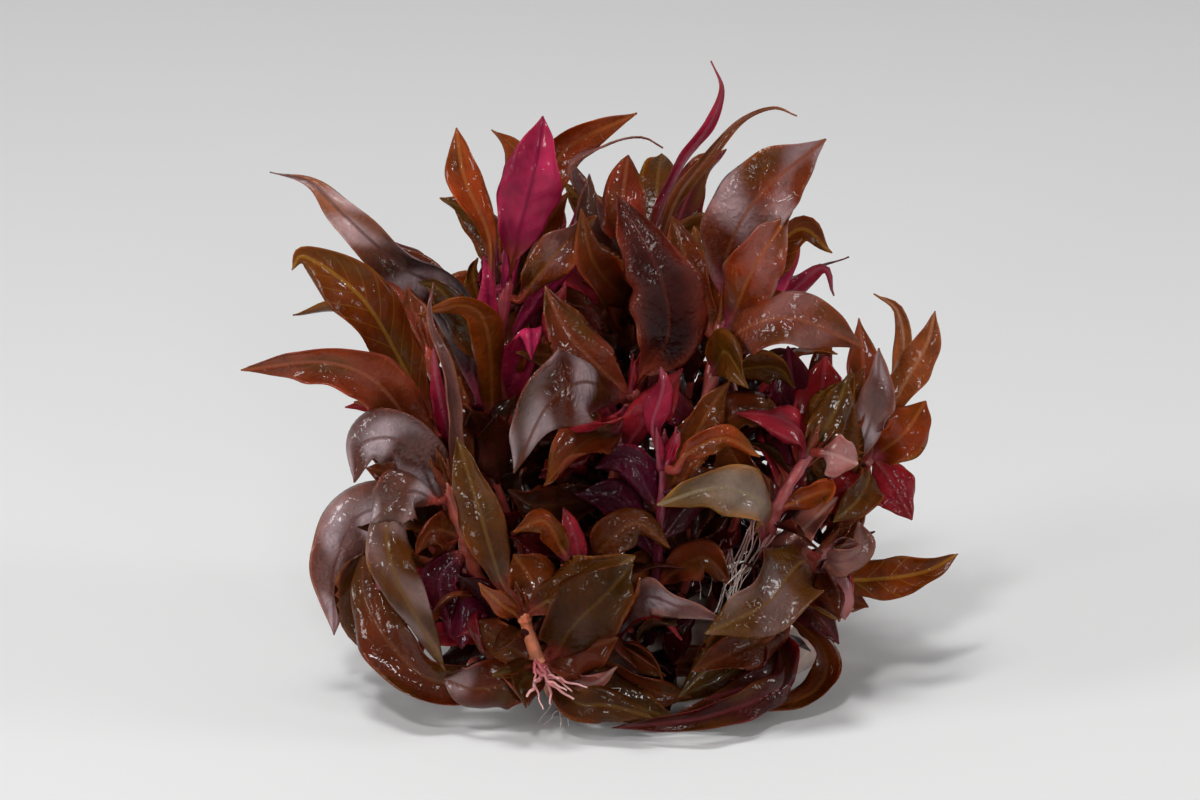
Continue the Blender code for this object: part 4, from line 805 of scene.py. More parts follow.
def leafShell(entry, stem, grownOn, grid, chance):
    # The middle surface is the midrib's curve plus, across it, half the width times t along the
    # side direction and its square-like rise along the outward one (the cup); waves grow with
    # the cube of t toward the edge, and the blade swells by a cosine between its lateral veins.
    # Upper and under side stand off it by half the blade's thickness, which falls to nothing at
    # the edge as a circle does, or by the round stalk where that is thicker
    make = leafMake
    rows, columns = grid
    root, base = leafBase(stem, entry, grownOn)
    lift, swing, roll = (math.radians(angle) for angle in entry["lie"])
    side = np.cross(entry["path"][-1] - base, entry["face"])
    path = [base] + [
        base + turned(turned(place - base, side, lift), entry["face"], swing) for place in entry["path"]
    ]
    share = np.linspace(0, 1, rows)
    rib = smoothLine(path, share)
    ahead, normal = carriedAlong(path, turned(entry["face"], side, lift), share)
    over = np.cross(ahead, normal)
    angle = roll + np.radians(entry["turn"] + entry["twist"] * (share - 0.5))[:, None]
    normal, over = (normal * np.cos(angle) + over * np.sin(angle),
                    over * np.cos(angle) - normal * np.sin(angle))
    length = np.linalg.norm(np.diff(rib, axis=0), axis=1).sum()
    full = np.sin(math.pi * share ** (math.log(0.5) / math.log(entry["broadest"]))) ** entry["sharp"]
    full = full * (1 - 0.2 * np.exp(-(((1 - share) / 0.12) ** 2)))
    least = make["petiole"] * 2 * (1 - share) ** 2 + 0.12
    half = np.maximum(entry["wide"] * full, least) / 2
    if not grownOn:
        # The stalk goes on from the blade's start into the stem: a cubic that leaves the stem
        # straight outward and meets the midrib in its own direction
        rowsMore = make["stalkRows"]
        u = np.linspace(0, 1, rowsMore + 1)[:-1, None]
        reach = np.linalg.norm(base - root)
        slopes = unit(base - root) * reach, ahead[0] * reach
        stalk = ((2 * u**3 - 3 * u**2 + 1) * root + (u**3 - 2 * u**2 + u) * slopes[0]
                 + (3 * u**2 - 2 * u**3) * base + (u**3 - u**2) * slopes[1])
        run = unit(np.gradient(np.vstack([stalk, base]), axis=0)[:-1])
        stalkNormal = unit(normal[0] - run * (run @ normal[0])[:, None])
        rib = np.vstack([stalk, rib])
        normal = np.vstack([stalkNormal, normal])
        over = np.vstack([np.cross(run, stalkNormal), over])
        half = np.concatenate([np.full(rowsMore, half[0]), half])
        share = np.concatenate([np.zeros(rowsMore), share])
    even = np.linspace(-1, 1, columns + 1)
    t = np.sign(even) * np.abs(even) ** make["crowded"]
    s, half, t = share[:, None], half[:, None], t[None, :]
    notches = chance.uniform(0, 2 * math.pi, 4)
    uneven = np.where(t < 0, np.sin(14 * s + notches[0]) + 0.6 * np.sin(31 * s + notches[1]),
                      np.sin(14 * s + notches[2]) + 0.6 * np.sin(31 * s + notches[3]))
    half = half * (1 + make["uneven"] * uneven * smooth(0.05, 0.25, s))
    bend = math.radians(entry["cup"]) * np.abs(t)
    rolls = chance.uniform(0, 1, 2)
    curling = np.sin(2 * math.pi * (s * 1.3 + np.where(t < 0, rolls[0], rolls[1])))
    bend = bend + math.radians(make["curl"]) * curling * t**2
    hug = 1.3 * t**2 / (np.abs(t) + 0.3)
    size = np.minimum(half / 3, 1.2)
    phases = chance.uniform(0, 1, 2)
    waves = s * length / make["waveLength"] * chance.uniform(0.8, 1.25)
    wave = make["wave"] * size * np.abs(t) ** 3 * np.sin(
        2 * math.pi * (waves + np.where(t < 0, phases[0], phases[1])))
    phase = s * length / make["veinGap"] - length / make["veinGap"] * make["veinSlant"] * np.abs(t)
    phase = phase + np.where(t < 0, 0.4, 0)
    swell = make["puff"] * size * np.cos(2 * math.pi * phase) * np.sqrt(np.maximum(0, 1 - t**2))
    swell = swell * smooth(0.1, 0.5, np.abs(t) * half)
    middle = (rib[:, None, :] + over[:, None, :] * (half * t * np.cos(bend))[..., None]
              + normal[:, None, :] * (half * hug * np.sin(bend) + wave + swell)[..., None])
    middle[..., 2] = np.maximum(middle[..., 2], make["lowest"])
    out = unit(np.cross(np.gradient(middle, axis=1), np.gradient(middle, axis=0)))
    out = out * np.sign((out * normal[:, None, :]).sum(axis=-1, keepdims=True) + 1e-9)
    far = np.abs(t) * half  # from the midrib, in millimetres
    radius = (make["petiole"] - make["stalkLeast"]) * (1 - s) ** 1.3 + make["stalkLeast"]
    radius = np.minimum(radius, half)
    bulge = np.sqrt(np.maximum(radius**2 - far**2, 0))
    blade = make["blade"] / 2 * np.maximum(1 - t**2, 0) ** make["rimSharp"]
    flat = smooth(1.2, 3.5, half / radius)
    deepest, width = make["groove"]
    furrowed = blade - deepest * np.exp(-((far / width) ** 2))
    upper = np.maximum(blade, bulge) * (1 - flat) + furrowed * flat
    lower = np.maximum(blade, bulge * 0.95)
    rings = np.concatenate([middle + out * upper[..., None],
                            (middle - out * lower[..., None])[:, -2:0:-1]], axis=1)
    isUpper = np.concatenate([np.ones_like(t * s), np.zeros_like(t * s)[:, -2:0:-1]], axis=1)
    isUpper[:, [0, columns]] = 0.5

    def around(values):
        # Values over the upper side, and back over the under side
        values = np.broadcast_to(values, (len(share), columns + 1))
        return np.concatenate([values, values[:, -2:0:-1]], axis=1)

    paint = leafPaint(entry, around(s), around(t), around(far), isUpper, length, chance)
    show = veinShow.get(entry["tone"], veinShow["usual"])
    paint["veins"] = np.stack([around(phase), around(far), around(show * flat * (1 - s**4))], axis=-1)
    shell = ringShell(rings, paint)
    shell["creased"] = entry.get("creased", chance.uniform(*make["creased"]))
    shell["film"] = entry.get("film", chance.uniform(*make["film"]))
    return shell


def leafPaint(entry, s, t, far, isUpper, length, chance):
    # Colour over the leaf: the under side's tone to the upper side's, the tip's tone at its end,
    # blotches that are sums of slow sines, brown patches, a painted sheen in milky patches, painted
    # shade over the blade's start and over leaves low down and deep in the clump, the stalk's salmon
    # at its start, the rim's own colour, and a lighter very edge
    make = paintMake
    tone, deep = entry["tone"], entry["deep"]
    # Painted shade: the colour is darkened by the leaf's share of light, and young leaves more toward the
    # ground
    if not entry.get("large"):
        low, high, least = make["ground"]
        deep = deep * (least + (1 - least) * float(smooth(low, high, entry["path"][-1][2])))
    upper, under, vein, tip = (linear(colour) * leafMake["wetDark"] for colour in leafTones[tone])
    shift = deep * chance.uniform(*make["lighter"]) * (1 + chance.uniform(-make["hue"], make["hue"], 3))
    up = isUpper[..., None]
    colour = under * (1 - up) + upper * up
    start, end, full = tipBlend.get(tone, tipBlend["usual"])
    colour = colour + (tip - colour) * (full * smooth(start, end, s))[..., None]
    waves = chance.uniform(0, 2 * math.pi, 4)
    blotch = (np.sin(s * length * 0.9 + waves[0] + 2 * t) + np.sin(t * 4.1 + waves[1] + s * 3)
              + np.sin(s * length * 0.35 + waves[2])) / 3
    colour = colour * (1 + make["blotch"] * blotch)[..., None] * shift
    if tone not in evenTones:
        turn = chance.uniform(0, 2 * math.pi, 2)
        patch = np.sin(s * length * 0.55 + turn[0] + 1.6 * t) + np.sin(3.4 * t + turn[1] - 5 * s)
        patch = chance.uniform(*make["patchShare"]) * smooth(0.5, 0.95, 0.5 + 0.25 * patch)
        colour = colour + (linear(make["patch"]) * deep - colour) * patch[..., None]
    # Painted sheen: pale patches painted into the colour, standing in for the film of water's reflection
    sheenShare = np.sin(s * length * 0.75 + waves[3] + 1.2 * t) * np.cos(1.7 * t + 2 * waves[3] + 2.3 * s)
    sheenShare = entry.get("bloom", 0) * smooth(0.3, 0.85, 0.5 + 0.5 * sheenShare + 0.15 * blotch)
    colour = colour + (linear(bloomColour) - colour) * sheenShare[..., None]
    # Painted shade over the blade's start, where it lies inside the clump
    colour = colour * (1 - make["footShade"] * (1 - smooth(0.02, 0.4, s)))[..., None]
    stalk = linear(chance.choice(make["stalks"])) * (0.7 + 0.3 * up) * 0.7 * deep
    young = ((1 - smooth(0.0, 0.22, s)) * np.exp(-((far / make["stalkWidth"]) ** 2)))[..., None]
    colour = colour * (1 - young) + stalk * young
    if tone in rimTones:
        rim = (make["rim"] * smooth(0.45, 0.95, np.abs(t) + 0.15 * blotch))[..., None]
        colour = colour + (linear(rimTones[tone]) - colour) * rim
    # The very edge made lighter: partly its own paler rim, partly a painted glow of light through the thin
    # blade
    edge = (smooth(0.93, 1, np.abs(t)) * smooth(0.1, 0.3, s))[..., None]
    colour = colour * (1 + make["edge"] * edge)
    veinColour = vein * shift * (0.8 + 0.2 * up)
    veinColour = veinColour * (1 - young) + stalk * young
    return {"tint": np.clip(colour, 0, 1), "veinTint": np.clip(veinColour, 0, 1)}


def stemShell(line, radii, sides, colours, chance):
    # A round profile carried along a line: at each place, the radius times the cosine and the
    # sine of the way round, along two directions square to the line. Its colour goes from the
    # first one to the second and is streaked by a sine of the way round
    ahead = unit(np.gradient(line, axis=0))
    first = unit(np.cross(ahead, [0.31, 0.87, 0.38]))
    second = np.cross(ahead, first)
    around = np.linspace(0, 2 * math.pi, sides, endpoint=False)[None, :, None]
    rings = line[:, None, :] + np.asarray(radii)[:, None, None] * (
        first[:, None, :] * np.cos(around) + second[:, None, :] * np.sin(around))
    share = np.linspace(0, 1, len(line))[:, None, None]
    low, high = (linear(colour) for colour in colours)
    streak = 1 + 0.14 * np.sin(3 * around + chance.uniform(0, 6) + 4 * share)
    colour = np.clip((low * (1 - share) + high * share) * streak, 0, 1)
    noVeins = np.zeros(rings.shape)
    noVeins[..., 1] = 9
    return ringShell(rings, {"tint": colour, "veinTint": colour, "veins": noVeins})


def buildPiece(name, shells, materials, nodes, kinds=None):
    # One mesh out of several shells. kinds gives, for each shell, which material it has
    counts = [len(shell["places"]) for shell in shells]
    offsets = np.cumsum([0] + counts)[:-1]
    places = np.vstack([shell["places"] for shell in shells])
    quads = np.vstack([shell["quads"] + start for shell, start in zip(shells, offsets)])
    fans = np.vstack([shell["fans"] + start for shell, start in zip(shells, offsets)])
    mesh = bpy.data.meshes.new(name)
    mesh.vertices.add(len(places))
    mesh.vertices.foreach_set("co", (places * mm).ravel())
    corners = np.concatenate([quads.ravel(), fans.ravel()])
    mesh.loops.add(len(corners))
    mesh.loops.foreach_set("vertex_index", corners.astype(np.int32))
    sizes = np.concatenate([np.full(len(quads), 4), np.full(len(fans), 3)])
    mesh.polygons.add(len(sizes))
    mesh.polygons.foreach_set("loop_start", np.concatenate([[0], np.cumsum(sizes)[:-1]]).astype(np.int32))
    for material in materials:
        mesh.materials.append(material)
    if kinds is not None:
        pick = np.concatenate([np.repeat(kinds, [len(shell["quads"]) for shell in shells]),
                               np.repeat(kinds, [len(shell["fans"]) for shell in shells])])
        mesh.polygons.foreach_set("material_index", pick.astype(np.int32))
    # The fourth value of the two colours says how creased a leaf is, and how much water it bears
    for field, fourth in (("tint", "creased"), ("veinTint", "film")):
        colours = np.vstack([shell[field] for shell in shells])
        fourths = np.repeat([float(shell.get(fourth, 1)) for shell in shells], counts)
        held = mesh.attributes.new(field, "FLOAT_COLOR", "POINT")
        held.data.foreach_set("color", np.hstack([colours, fourths[:, None]]).ravel())
    held = mesh.attributes.new("veins", "FLOAT_VECTOR", "POINT")
    held.data.foreach_set("vector", np.vstack([shell["veins"] for shell in shells]).ravel())
    mesh.update(calc_edges=True)
    mesh.validate()
    mesh.shade_smooth()
    piece = bpy.data.objects.new(name, mesh)
    bpy.context.scene.collection.objects.link(piece)
    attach(piece, "root")
    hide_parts(*nodes)


def addNode(tree, kind, settings=None, **inputs):
    # Adds a node, sets its settings and puts a value or a link into each named or numbered input
    node = tree.nodes.new(kind)
    for key, value in (settings or {}).items():
        setattr(node, key, value)
    for key, value in inputs.items():
        socket = node.inputs[int(key[2:])] if key.startswith("in") else node.inputs[key.replace("_", " ")]
        if isinstance(value, bpy.types.NodeSocket):
            tree.links.new(value, socket)
        else:
            socket.default_value = value
    return node


def newMaterial(name):
    # A material without any nodes yet
    material = bpy.data.materials.new(name)
    material.use_nodes = True
    material.node_tree.nodes.clear()
    return material, material.node_tree


def mottled(tree, tint, noise, darkest, lightest):
    # The painted colour, made darker and lighter by a noise
    shade = addNode(tree, "ShaderNodeMapRange", Value=noise.outputs["Fac"],
                    From_Min=0.3, From_Max=0.7, To_Min=darkest, To_Max=lightest)
    return addNode(tree, "ShaderNodeVectorMath", settings={"operation": "SCALE"},
                   Vector=tint, Scale=shade.outputs[0]).outputs[0]


def wetLeaf():
    # Living leaf under a film of water: a waxy skin with fine wrinkles between the veins, light
    # coming through the thin blade, and bright broken glints where the water lies on it
    material, tree = newMaterial("wet leaf")
    place = addNode(tree, "ShaderNodeTexCoord").outputs["Object"]
    painted = addNode(tree, "ShaderNodeAttribute", settings={"attribute_name": "tint"})
    tint, creased = painted.outputs["Color"], painted.outputs["Alpha"]
    veined = addNode(tree, "ShaderNodeAttribute", settings={"attribute_name": "veinTint"})
    veinTint, film = veined.outputs["Color"], veined.outputs["Alpha"]
    # The attribute says how many lateral veins on, how far from the midrib in millimetres, and how
    # strongly the veins show. A lateral vein lies where its count's fraction is a half
    veins = addNode(tree, "ShaderNodeAttribute", settings={"attribute_name": "veins"}).outputs["Vector"]
    split = addNode(tree, "ShaderNodeSeparateXYZ", Vector=veins)
    turn = addNode(tree, "ShaderNodeMath", settings={"operation": "FRACT"}, in0=split.outputs["X"])
    fromVein = addNode(tree, "ShaderNodeMath", settings={"operation": "SUBTRACT"},
                       in0=turn.outputs[0], in1=0.5)
    fromVein = addNode(tree, "ShaderNodeMath", settings={"operation": "ABSOLUTE"}, in0=fromVein.outputs[0])
    lateral = addNode(tree, "ShaderNodeMapRange", settings={"interpolation_type": "SMOOTHSTEP"},
                      Value=fromVein.outputs[0], From_Min=0.01, From_Max=0.08, To_Min=1.0, To_Max=0.0)
    lateral = addNode(tree, "ShaderNodeMath", settings={"operation": "MULTIPLY"},
                      in0=lateral.outputs[0], in1=split.outputs["Z"])
    rib = addNode(tree, "ShaderNodeMapRange", settings={"interpolation_type": "SMOOTHSTEP"},
                  Value=split.outputs["Y"], From_Min=0.08, From_Max=0.26, To_Min=0.75, To_Max=0.0)
    vein = addNode(tree, "ShaderNodeMath", settings={"operation": "MAXIMUM"},
                   in0=lateral.outputs[0], in1=rib.outputs[0]).outputs[0]
    # Mottling of some 3 mm, wrinkles of 0.7 mm and swelling of 1.4 mm, as on a leaf grown in a cup
    mottle = addNode(tree, "ShaderNodeTexNoise", Vector=place, Scale=320.0, Detail=4.0, Roughness=0.6)
    colour = addNode(tree, "ShaderNodeMix", settings={"data_type": "RGBA"},
                     in0=vein, in6=mottled(tree, tint, mottle, 0.66, 1.3), in7=veinTint)
    wrinkle = addNode(tree, "ShaderNodeTexNoise", settings={"noise_type": "RIDGED_MULTIFRACTAL"},
                      Vector=place, Scale=1500.0, Detail=2.0, Roughness=0.6, Offset=1.0, Gain=1.0)
    swell = addNode(tree, "ShaderNodeTexNoise", Vector=place, Scale=700.0, Detail=2.0)
    skin = addNode(tree, "ShaderNodeBump", Strength=0.5, Distance=0.00006, Height=vein)
    skin = addNode(tree, "ShaderNodeBump", Strength=creased, Distance=0.00006,
                   Height=wrinkle.outputs[0], Normal=skin.outputs[0])
    skin = addNode(tree, "ShaderNodeBump", Strength=0.6, Distance=0.0002, Height=swell.outputs["Fac"],
                   Normal=skin.outputs[0])
    # The film of water is smoother than the skin. It lies in puddles of some 2 mm, and is thick
    # only in patches of some 5 mm
    water = addNode(tree, "ShaderNodeBump", Strength=creased, Distance=0.000025, Height=wrinkle.outputs[0])
    puddle = addNode(tree, "ShaderNodeTexNoise", Vector=place, Scale=420.0, Detail=1.0)
    water = addNode(tree, "ShaderNodeBump", Strength=0.5, Distance=0.0003, Height=puddle.outputs["Fac"],
                    Normal=water.outputs[0])
    patch = addNode(tree, "ShaderNodeTexNoise", Vector=place, Scale=190.0, Detail=1.0)
    patch = addNode(tree, "ShaderNodeMapRange", settings={"interpolation_type": "SMOOTHSTEP"},
                    Value=patch.outputs["Fac"], From_Min=0.42, From_Max=0.6, To_Min=0.3, To_Max=1.0)
    wet = addNode(tree, "ShaderNodeMath", settings={"operation": "MULTIPLY"},
                  in0=film, in1=patch.outputs[0])
    gloss = addNode(tree, "ShaderNodeMapRange", Value=creased, From_Min=0.0, From_Max=1.0,
                    To_Min=0.05, To_Max=0.09)
    rough = addNode(tree, "ShaderNodeMapRange", Value=mottle.outputs["Fac"],
                    From_Min=0.35, From_Max=0.65, To_Min=0.3, To_Max=0.5)
    shader = addNode(
        tree, "ShaderNodeBsdfPrincipled", Base_Color=colour.outputs[2], Roughness=rough.outputs[0],
        IOR=1.42, Specular_IOR_Level=0.08, Normal=skin.outputs[0],
        Subsurface_Weight=0.22, Subsurface_Radius=(1.0, 0.3, 0.15), Subsurface_Scale=0.0009,
        Coat_Weight=wet.outputs[0], Coat_Roughness=gloss.outputs[0], Coat_IOR=1.33,
        Coat_Normal=water.outputs[0],
    )
    addNode(tree, "ShaderNodeOutputMaterial", Surface=shader.outputs[0])
    return material


def stemSkin():
    # Juicy stem under the same film of water: smooth, streaked by 1 mm, and lit a little from inside
    material, tree = newMaterial("wet stem skin")
    place = addNode(tree, "ShaderNodeTexCoord").outputs["Object"]
    tint = addNode(tree, "ShaderNodeAttribute", settings={"attribute_name": "tint"}).outputs["Color"]
    streak = addNode(tree, "ShaderNodeTexNoise", Vector=place, Scale=900.0, Detail=3.0)
    bump = addNode(tree, "ShaderNodeBump", Strength=0.4, Distance=0.00006, Height=streak.outputs["Fac"])
    shader = addNode(
        tree, "ShaderNodeBsdfPrincipled", Base_Color=mottled(tree, tint, streak, 0.72, 1.25),
        Roughness=0.35, IOR=1.4, Normal=bump.outputs[0],
        Subsurface_Weight=0.4, Subsurface_Radius=(1.0, 0.4, 0.25), Subsurface_Scale=0.0008,
        Coat_Weight=0.8, Coat_Roughness=0.08, Coat_IOR=1.33,
    )
    addNode(tree, "ShaderNodeOutputMaterial", Surface=shader.outputs[0])
    return material


def rootSkin():
    # Fine roots: milky, nearly colourless, with a blush of pink that changes within 2 mm
    material, tree = newMaterial("wet root")
    place = addNode(tree, "ShaderNodeTexCoord").outputs["Object"]
    tint = addNode(tree, "ShaderNodeAttribute", settings={"attribute_name": "tint"}).outputs["Color"]
    blush = addNode(tree, "ShaderNodeTexNoise", Vector=place, Scale=600.0, Detail=2.0)
    shader = addNode(
        tree, "ShaderNodeBsdfPrincipled", Base_Color=mottled(tree, tint, blush, 0.75, 1.1),
        Roughness=0.35, IOR=1.38,
        Subsurface_Weight=0.5, Subsurface_Radius=(1.0, 0.6, 0.5), Subsurface_Scale=0.0008,
        Coat_Weight=0.6, Coat_Roughness=0.1, Coat_IOR=1.33,
    )
    addNode(tree, "ShaderNodeOutputMaterial", Surface=shader.outputs[0])
    return material


def cultureGel():
    # Agar gel: milky, with clouds of some 5 mm, and soft, as light goes deep into it, with a wet
    # skin that is bright and dimpled by 1 mm
    material, tree = newMaterial("culture gel")
    place = addNode(tree, "ShaderNodeTexCoord").outputs["Object"]
    cloud = addNode(tree, "ShaderNodeTexNoise", Vector=place, Scale=220.0, Detail=4.0, Roughness=0.6)
    colour = addNode(tree, "ShaderNodeMix", settings={"data_type": "RGBA"}, in0=cloud.outputs["Fac"],
                     in6=(*linear("#B4887C"), 1), in7=(*linear("#E6D2C8"), 1))
    dimple = addNode(tree, "ShaderNodeTexNoise", Vector=place, Scale=900.0, Detail=3.0)
    bump = addNode(tree, "ShaderNodeBump", Strength=0.5, Distance=0.00015, Height=dimple.outputs["Fac"])
    shader = addNode(
        tree, "ShaderNodeBsdfPrincipled", Base_Color=colour.outputs[2], Roughness=0.22, IOR=1.34,
        Normal=bump.outputs[0], Transmission_Weight=0.3,
        Subsurface_Weight=0.8, Subsurface_Radius=(1.0, 0.6, 0.5), Subsurface_Scale=0.003,
        Coat_Weight=0.7, Coat_Roughness=0.06, Coat_IOR=1.33,
    )
    addNode(tree, "ShaderNodeOutputMaterial", Surface=shader.outputs[0])
    return material


leafWet, stemWet, rootWet, gelWet = wetLeaf(), stemSkin(), rootSkin(), cultureGel()

stemMake = {
    "radius": 0.66,
    "taper": (1.08, 0.3),  # share of the radius at the foot, and what the top has less
    "nodeSwell": 0.34,  # how much thicker it is where leaves leave it, as a share
    "nodeLength": 0.035,
    "intoGel": 2.6,
    "footRows": 6,
    "lowest": 0.9,
    "sides": 14,
    "rows": 60,
    "colours": ("#7A3024", "#983C34"),
    "ownColours": {
        "front_low": ("#B87C62", "#C06440"), "pink": ("#2E0A0C", "#761C34"), "top": ("#8A3630", "#A83C48"),
        "right_mid": ("#7A3028", "#A0484A"), "left": ("#923828", "#AC4232"), "tall": ("#8A3428", "#A84A50"),
        "left_low": ("#8A3A2C", "#A04A3A"), "right_low": ("#8A4034", "#A05A4A"),
    },
    "ownRadii": {"pink": 0.6, "right_low": 0.8, "right_mid": 0.85},
    "apexLeaves": 4,
    "apexLength": (2.4, 4.2),
    "apexAround": 2.4,  # radians round the stem from one to the next
    "apexGrid": (18, 8),
    "apexTones": {"top": "magenta", "pink": "pink", "centre": "brick", "middle": "crimson",
                  "right": "tan", "right_top": "amber", "left": "brick"},
}


def apexLeaf(stem, number, tone, chance):
    # One of the smallest leaves at the tip of a stem: they stand round the stem's end, lean out
    # a little and face inward
    top, below = smoothLine(stem, [1, 0.9])
    ahead = unit(top - below)
    around = stemMake["apexAround"] * number
    out = unit(np.cross(ahead, [math.cos(around), math.sin(around), 0.3]))
    length = chance.uniform(*stemMake["apexLength"])
    start = top - ahead * 0.4
    path = [start + ahead * length * 0.55 + out * length * 0.24,
            start + ahead * length + out * length * 0.3]
    return leafOf(0.985, path, length * 0.36, unit(ahead * 0.35 - out), twist=chance.uniform(-20, 20),
                  cup=24, broadest=0.45, sharp=0.95, tone=tone)


def plantletShells(name, plantlet, chance):
    # The stem, which thins by the square of the way up and swells by a bell curve where leaves
    # leave it, then its young leaves, and the smallest ones at its tip
    make = stemMake
    stem = plantlet["stem"]
    share = np.linspace(0, 1, make["rows"])
    line = smoothLine(stem, share)
    deeper = np.linspace(1, 0.1, make["footRows"])[:, None]
    foot = line[0] - unit(line[1] - line[0]) * make["intoGel"] * deeper
    foot[:, 2] = np.maximum(foot[:, 2], make["lowest"])
    line = np.vstack([foot, line])
    share = np.concatenate([np.zeros(make["footRows"]), share])
    marks = [entry["at"] for entry in [*plantlet["leaves"].values(), *plantlet["young"]]]
    swell = np.exp(-((share[:, None] - np.array(marks)[None, :]) / make["nodeLength"]) ** 2).max(axis=1)
    radius = make["radius"] * make["ownRadii"].get(name, 1)
    full, less = make["taper"]
    radii = radius * (full - less * share**2) * (1 + make["nodeSwell"] * swell)
    radii[-1] *= 0.5
    colours = make["ownColours"].get(name, make["colours"])
    shells = [stemShell(line, radii, make["sides"], colours, chance)]
    for entry in plantlet["young"] + moreLeaves.get(name, []):
        shells.append(leafShell(entry, stem, True, leafMake["youngGrid"], chance))
    tone = make["apexTones"].get(name, "umber")
    for number in range(make["apexLeaves"]):
        entry = apexLeaf(stem, number, tone, chance)
        shells.append(leafShell(entry, stem, True, make["apexGrid"], chance))
    return shells


def nodeTree(node):
    # A search tree over a solid, in millimetres, with the corners of its box
    mesh = node.data
    places = np.empty(len(mesh.vertices) * 3)
    mesh.vertices.foreach_get("co", places)
    places = places.reshape(-1, 3) / mm
    tree = BVHTree.FromPolygons(places.tolist(), [tuple(face.vertices) for face in mesh.polygons])
    return tree, places.min(axis=0), places.max(axis=0)


solids = {name: nodeTree(node) for name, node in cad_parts.items()}
laid = []
lowestLeaf = 0.4  # small leaves laid among the others stay this far above the ground


def sheetOf(shell, rows, columns):
    # The upper side of a leaf's shell as a search tree, from the third ring on
    upper = shell["places"][: rows * 2 * columns].reshape(rows, 2 * columns, 3)[2:, : columns + 1]
    count = columns + 1
    row, column = np.meshgrid(np.arange(len(upper) - 1), np.arange(columns), indexing="ij")
    quads = np.stack([row * count + column, row * count + column + 1,
                      (row + 1) * count + column + 1, (row + 1) * count + column], axis=-1).reshape(-1, 4)
    places = upper.reshape(-1, 3)
    return BVHTree.FromPolygons(places.tolist(), quads.tolist()), places.min(axis=0), places.max(axis=0)


def roomFor(shell, grid):
    # True, and kept in mind, if the leaf goes through no solid and no leaf laid before it
    tree, least, most = sheetOf(shell, *grid)
    if least[2] < lowestLeaf:
        return False
    near = [other for other, low, high in [*solids.values(), *laid]
            if (least < high).all() and (most > low).all()]
    if any(tree.overlap(other) for other in near):
        return False
    laid.append((tree, least, most))
    return True


def arched(make, stem, at, bearing, climb, length, wide, chance):
    # A leaf that leaves the stem there, with that bearing and climb in radians, arches over, and
    # faces upward and a little back to the stem
    origin = smoothLine(stem, [at])[0]
    heading = level(bearing)
    run = heading * math.cos(climb) + upward * math.sin(climb)
    return leafOf(
        at,
        [origin + run * length * 0.55 + upward * length * make["arch"], origin + run * length],
        wide,
        unit(upward * 0.9 - heading * 0.3),
        turn=chance.uniform(-make["turn"], make["turn"]),
        twist=chance.uniform(-make["twist"], make["twist"]),
        cup=make["cup"],
        sharp=0.9,
        tone=make["tones"][chance.integers(len(make["tones"]))],
        deep=make["deep"],
    )


fillMake = {
    "tries": 90,
    "wanted": 16,
    "at": (0.08, 0.9),
    "climb": (-0.35, 1.0),
    "length": (5.0, 10.5),
    "wide": (0.34, 0.46),  # as a share of the length
    "past": 0.6,  # how far they may reach past the box of their plantlet's solid
    "arch": 0.08,
    "turn": 40,
    "twist": 30,
    "cup": 12,
    # painted shade: how dark these leaves are painted, low down in the clump
    "deep": 0.28,
    "tones": ("umber", "wine", "umber", "brown", "plum", "olive", "umber", "crimson"),
    "grid": (20, 8),
}


def fillShells(name, plantlet, chance):
    # Small leaves low down between the others, darkened by painted shade, as many as find room:
    # each leaves the stem somewhere, in some direction, stays within the reach of the plantlet's
    # solid, and is taken only if it goes through no solid and no leaf laid before it
    make = fillMake
    _, low, high = solids["stem_" + name]
    shells = []
    for _ in range(make["tries"]):
        if len(shells) == make["wanted"]:
            break
        at = chance.uniform(*make["at"])
        bearing, climb = chance.uniform(0, 2 * math.pi), chance.uniform(*make["climb"])
        length = chance.uniform(*make["length"])
        wide = length * chance.uniform(*make["wide"])
        entry = arched(make, plantlet["stem"], at, bearing, climb, length, wide, chance)
        shell = leafShell(entry, plantlet["stem"], True, make["grid"], chance)
        _, least, most = sheetOf(shell, *make["grid"])
        outside = (least < low - make["past"]).any() or (most > high + make["past"]).any()
        if not outside and roomFor(shell, make["grid"]):
            shells.append(shell)
    print(f"{name}: {len(shells)} leaves filled in")
    return shells


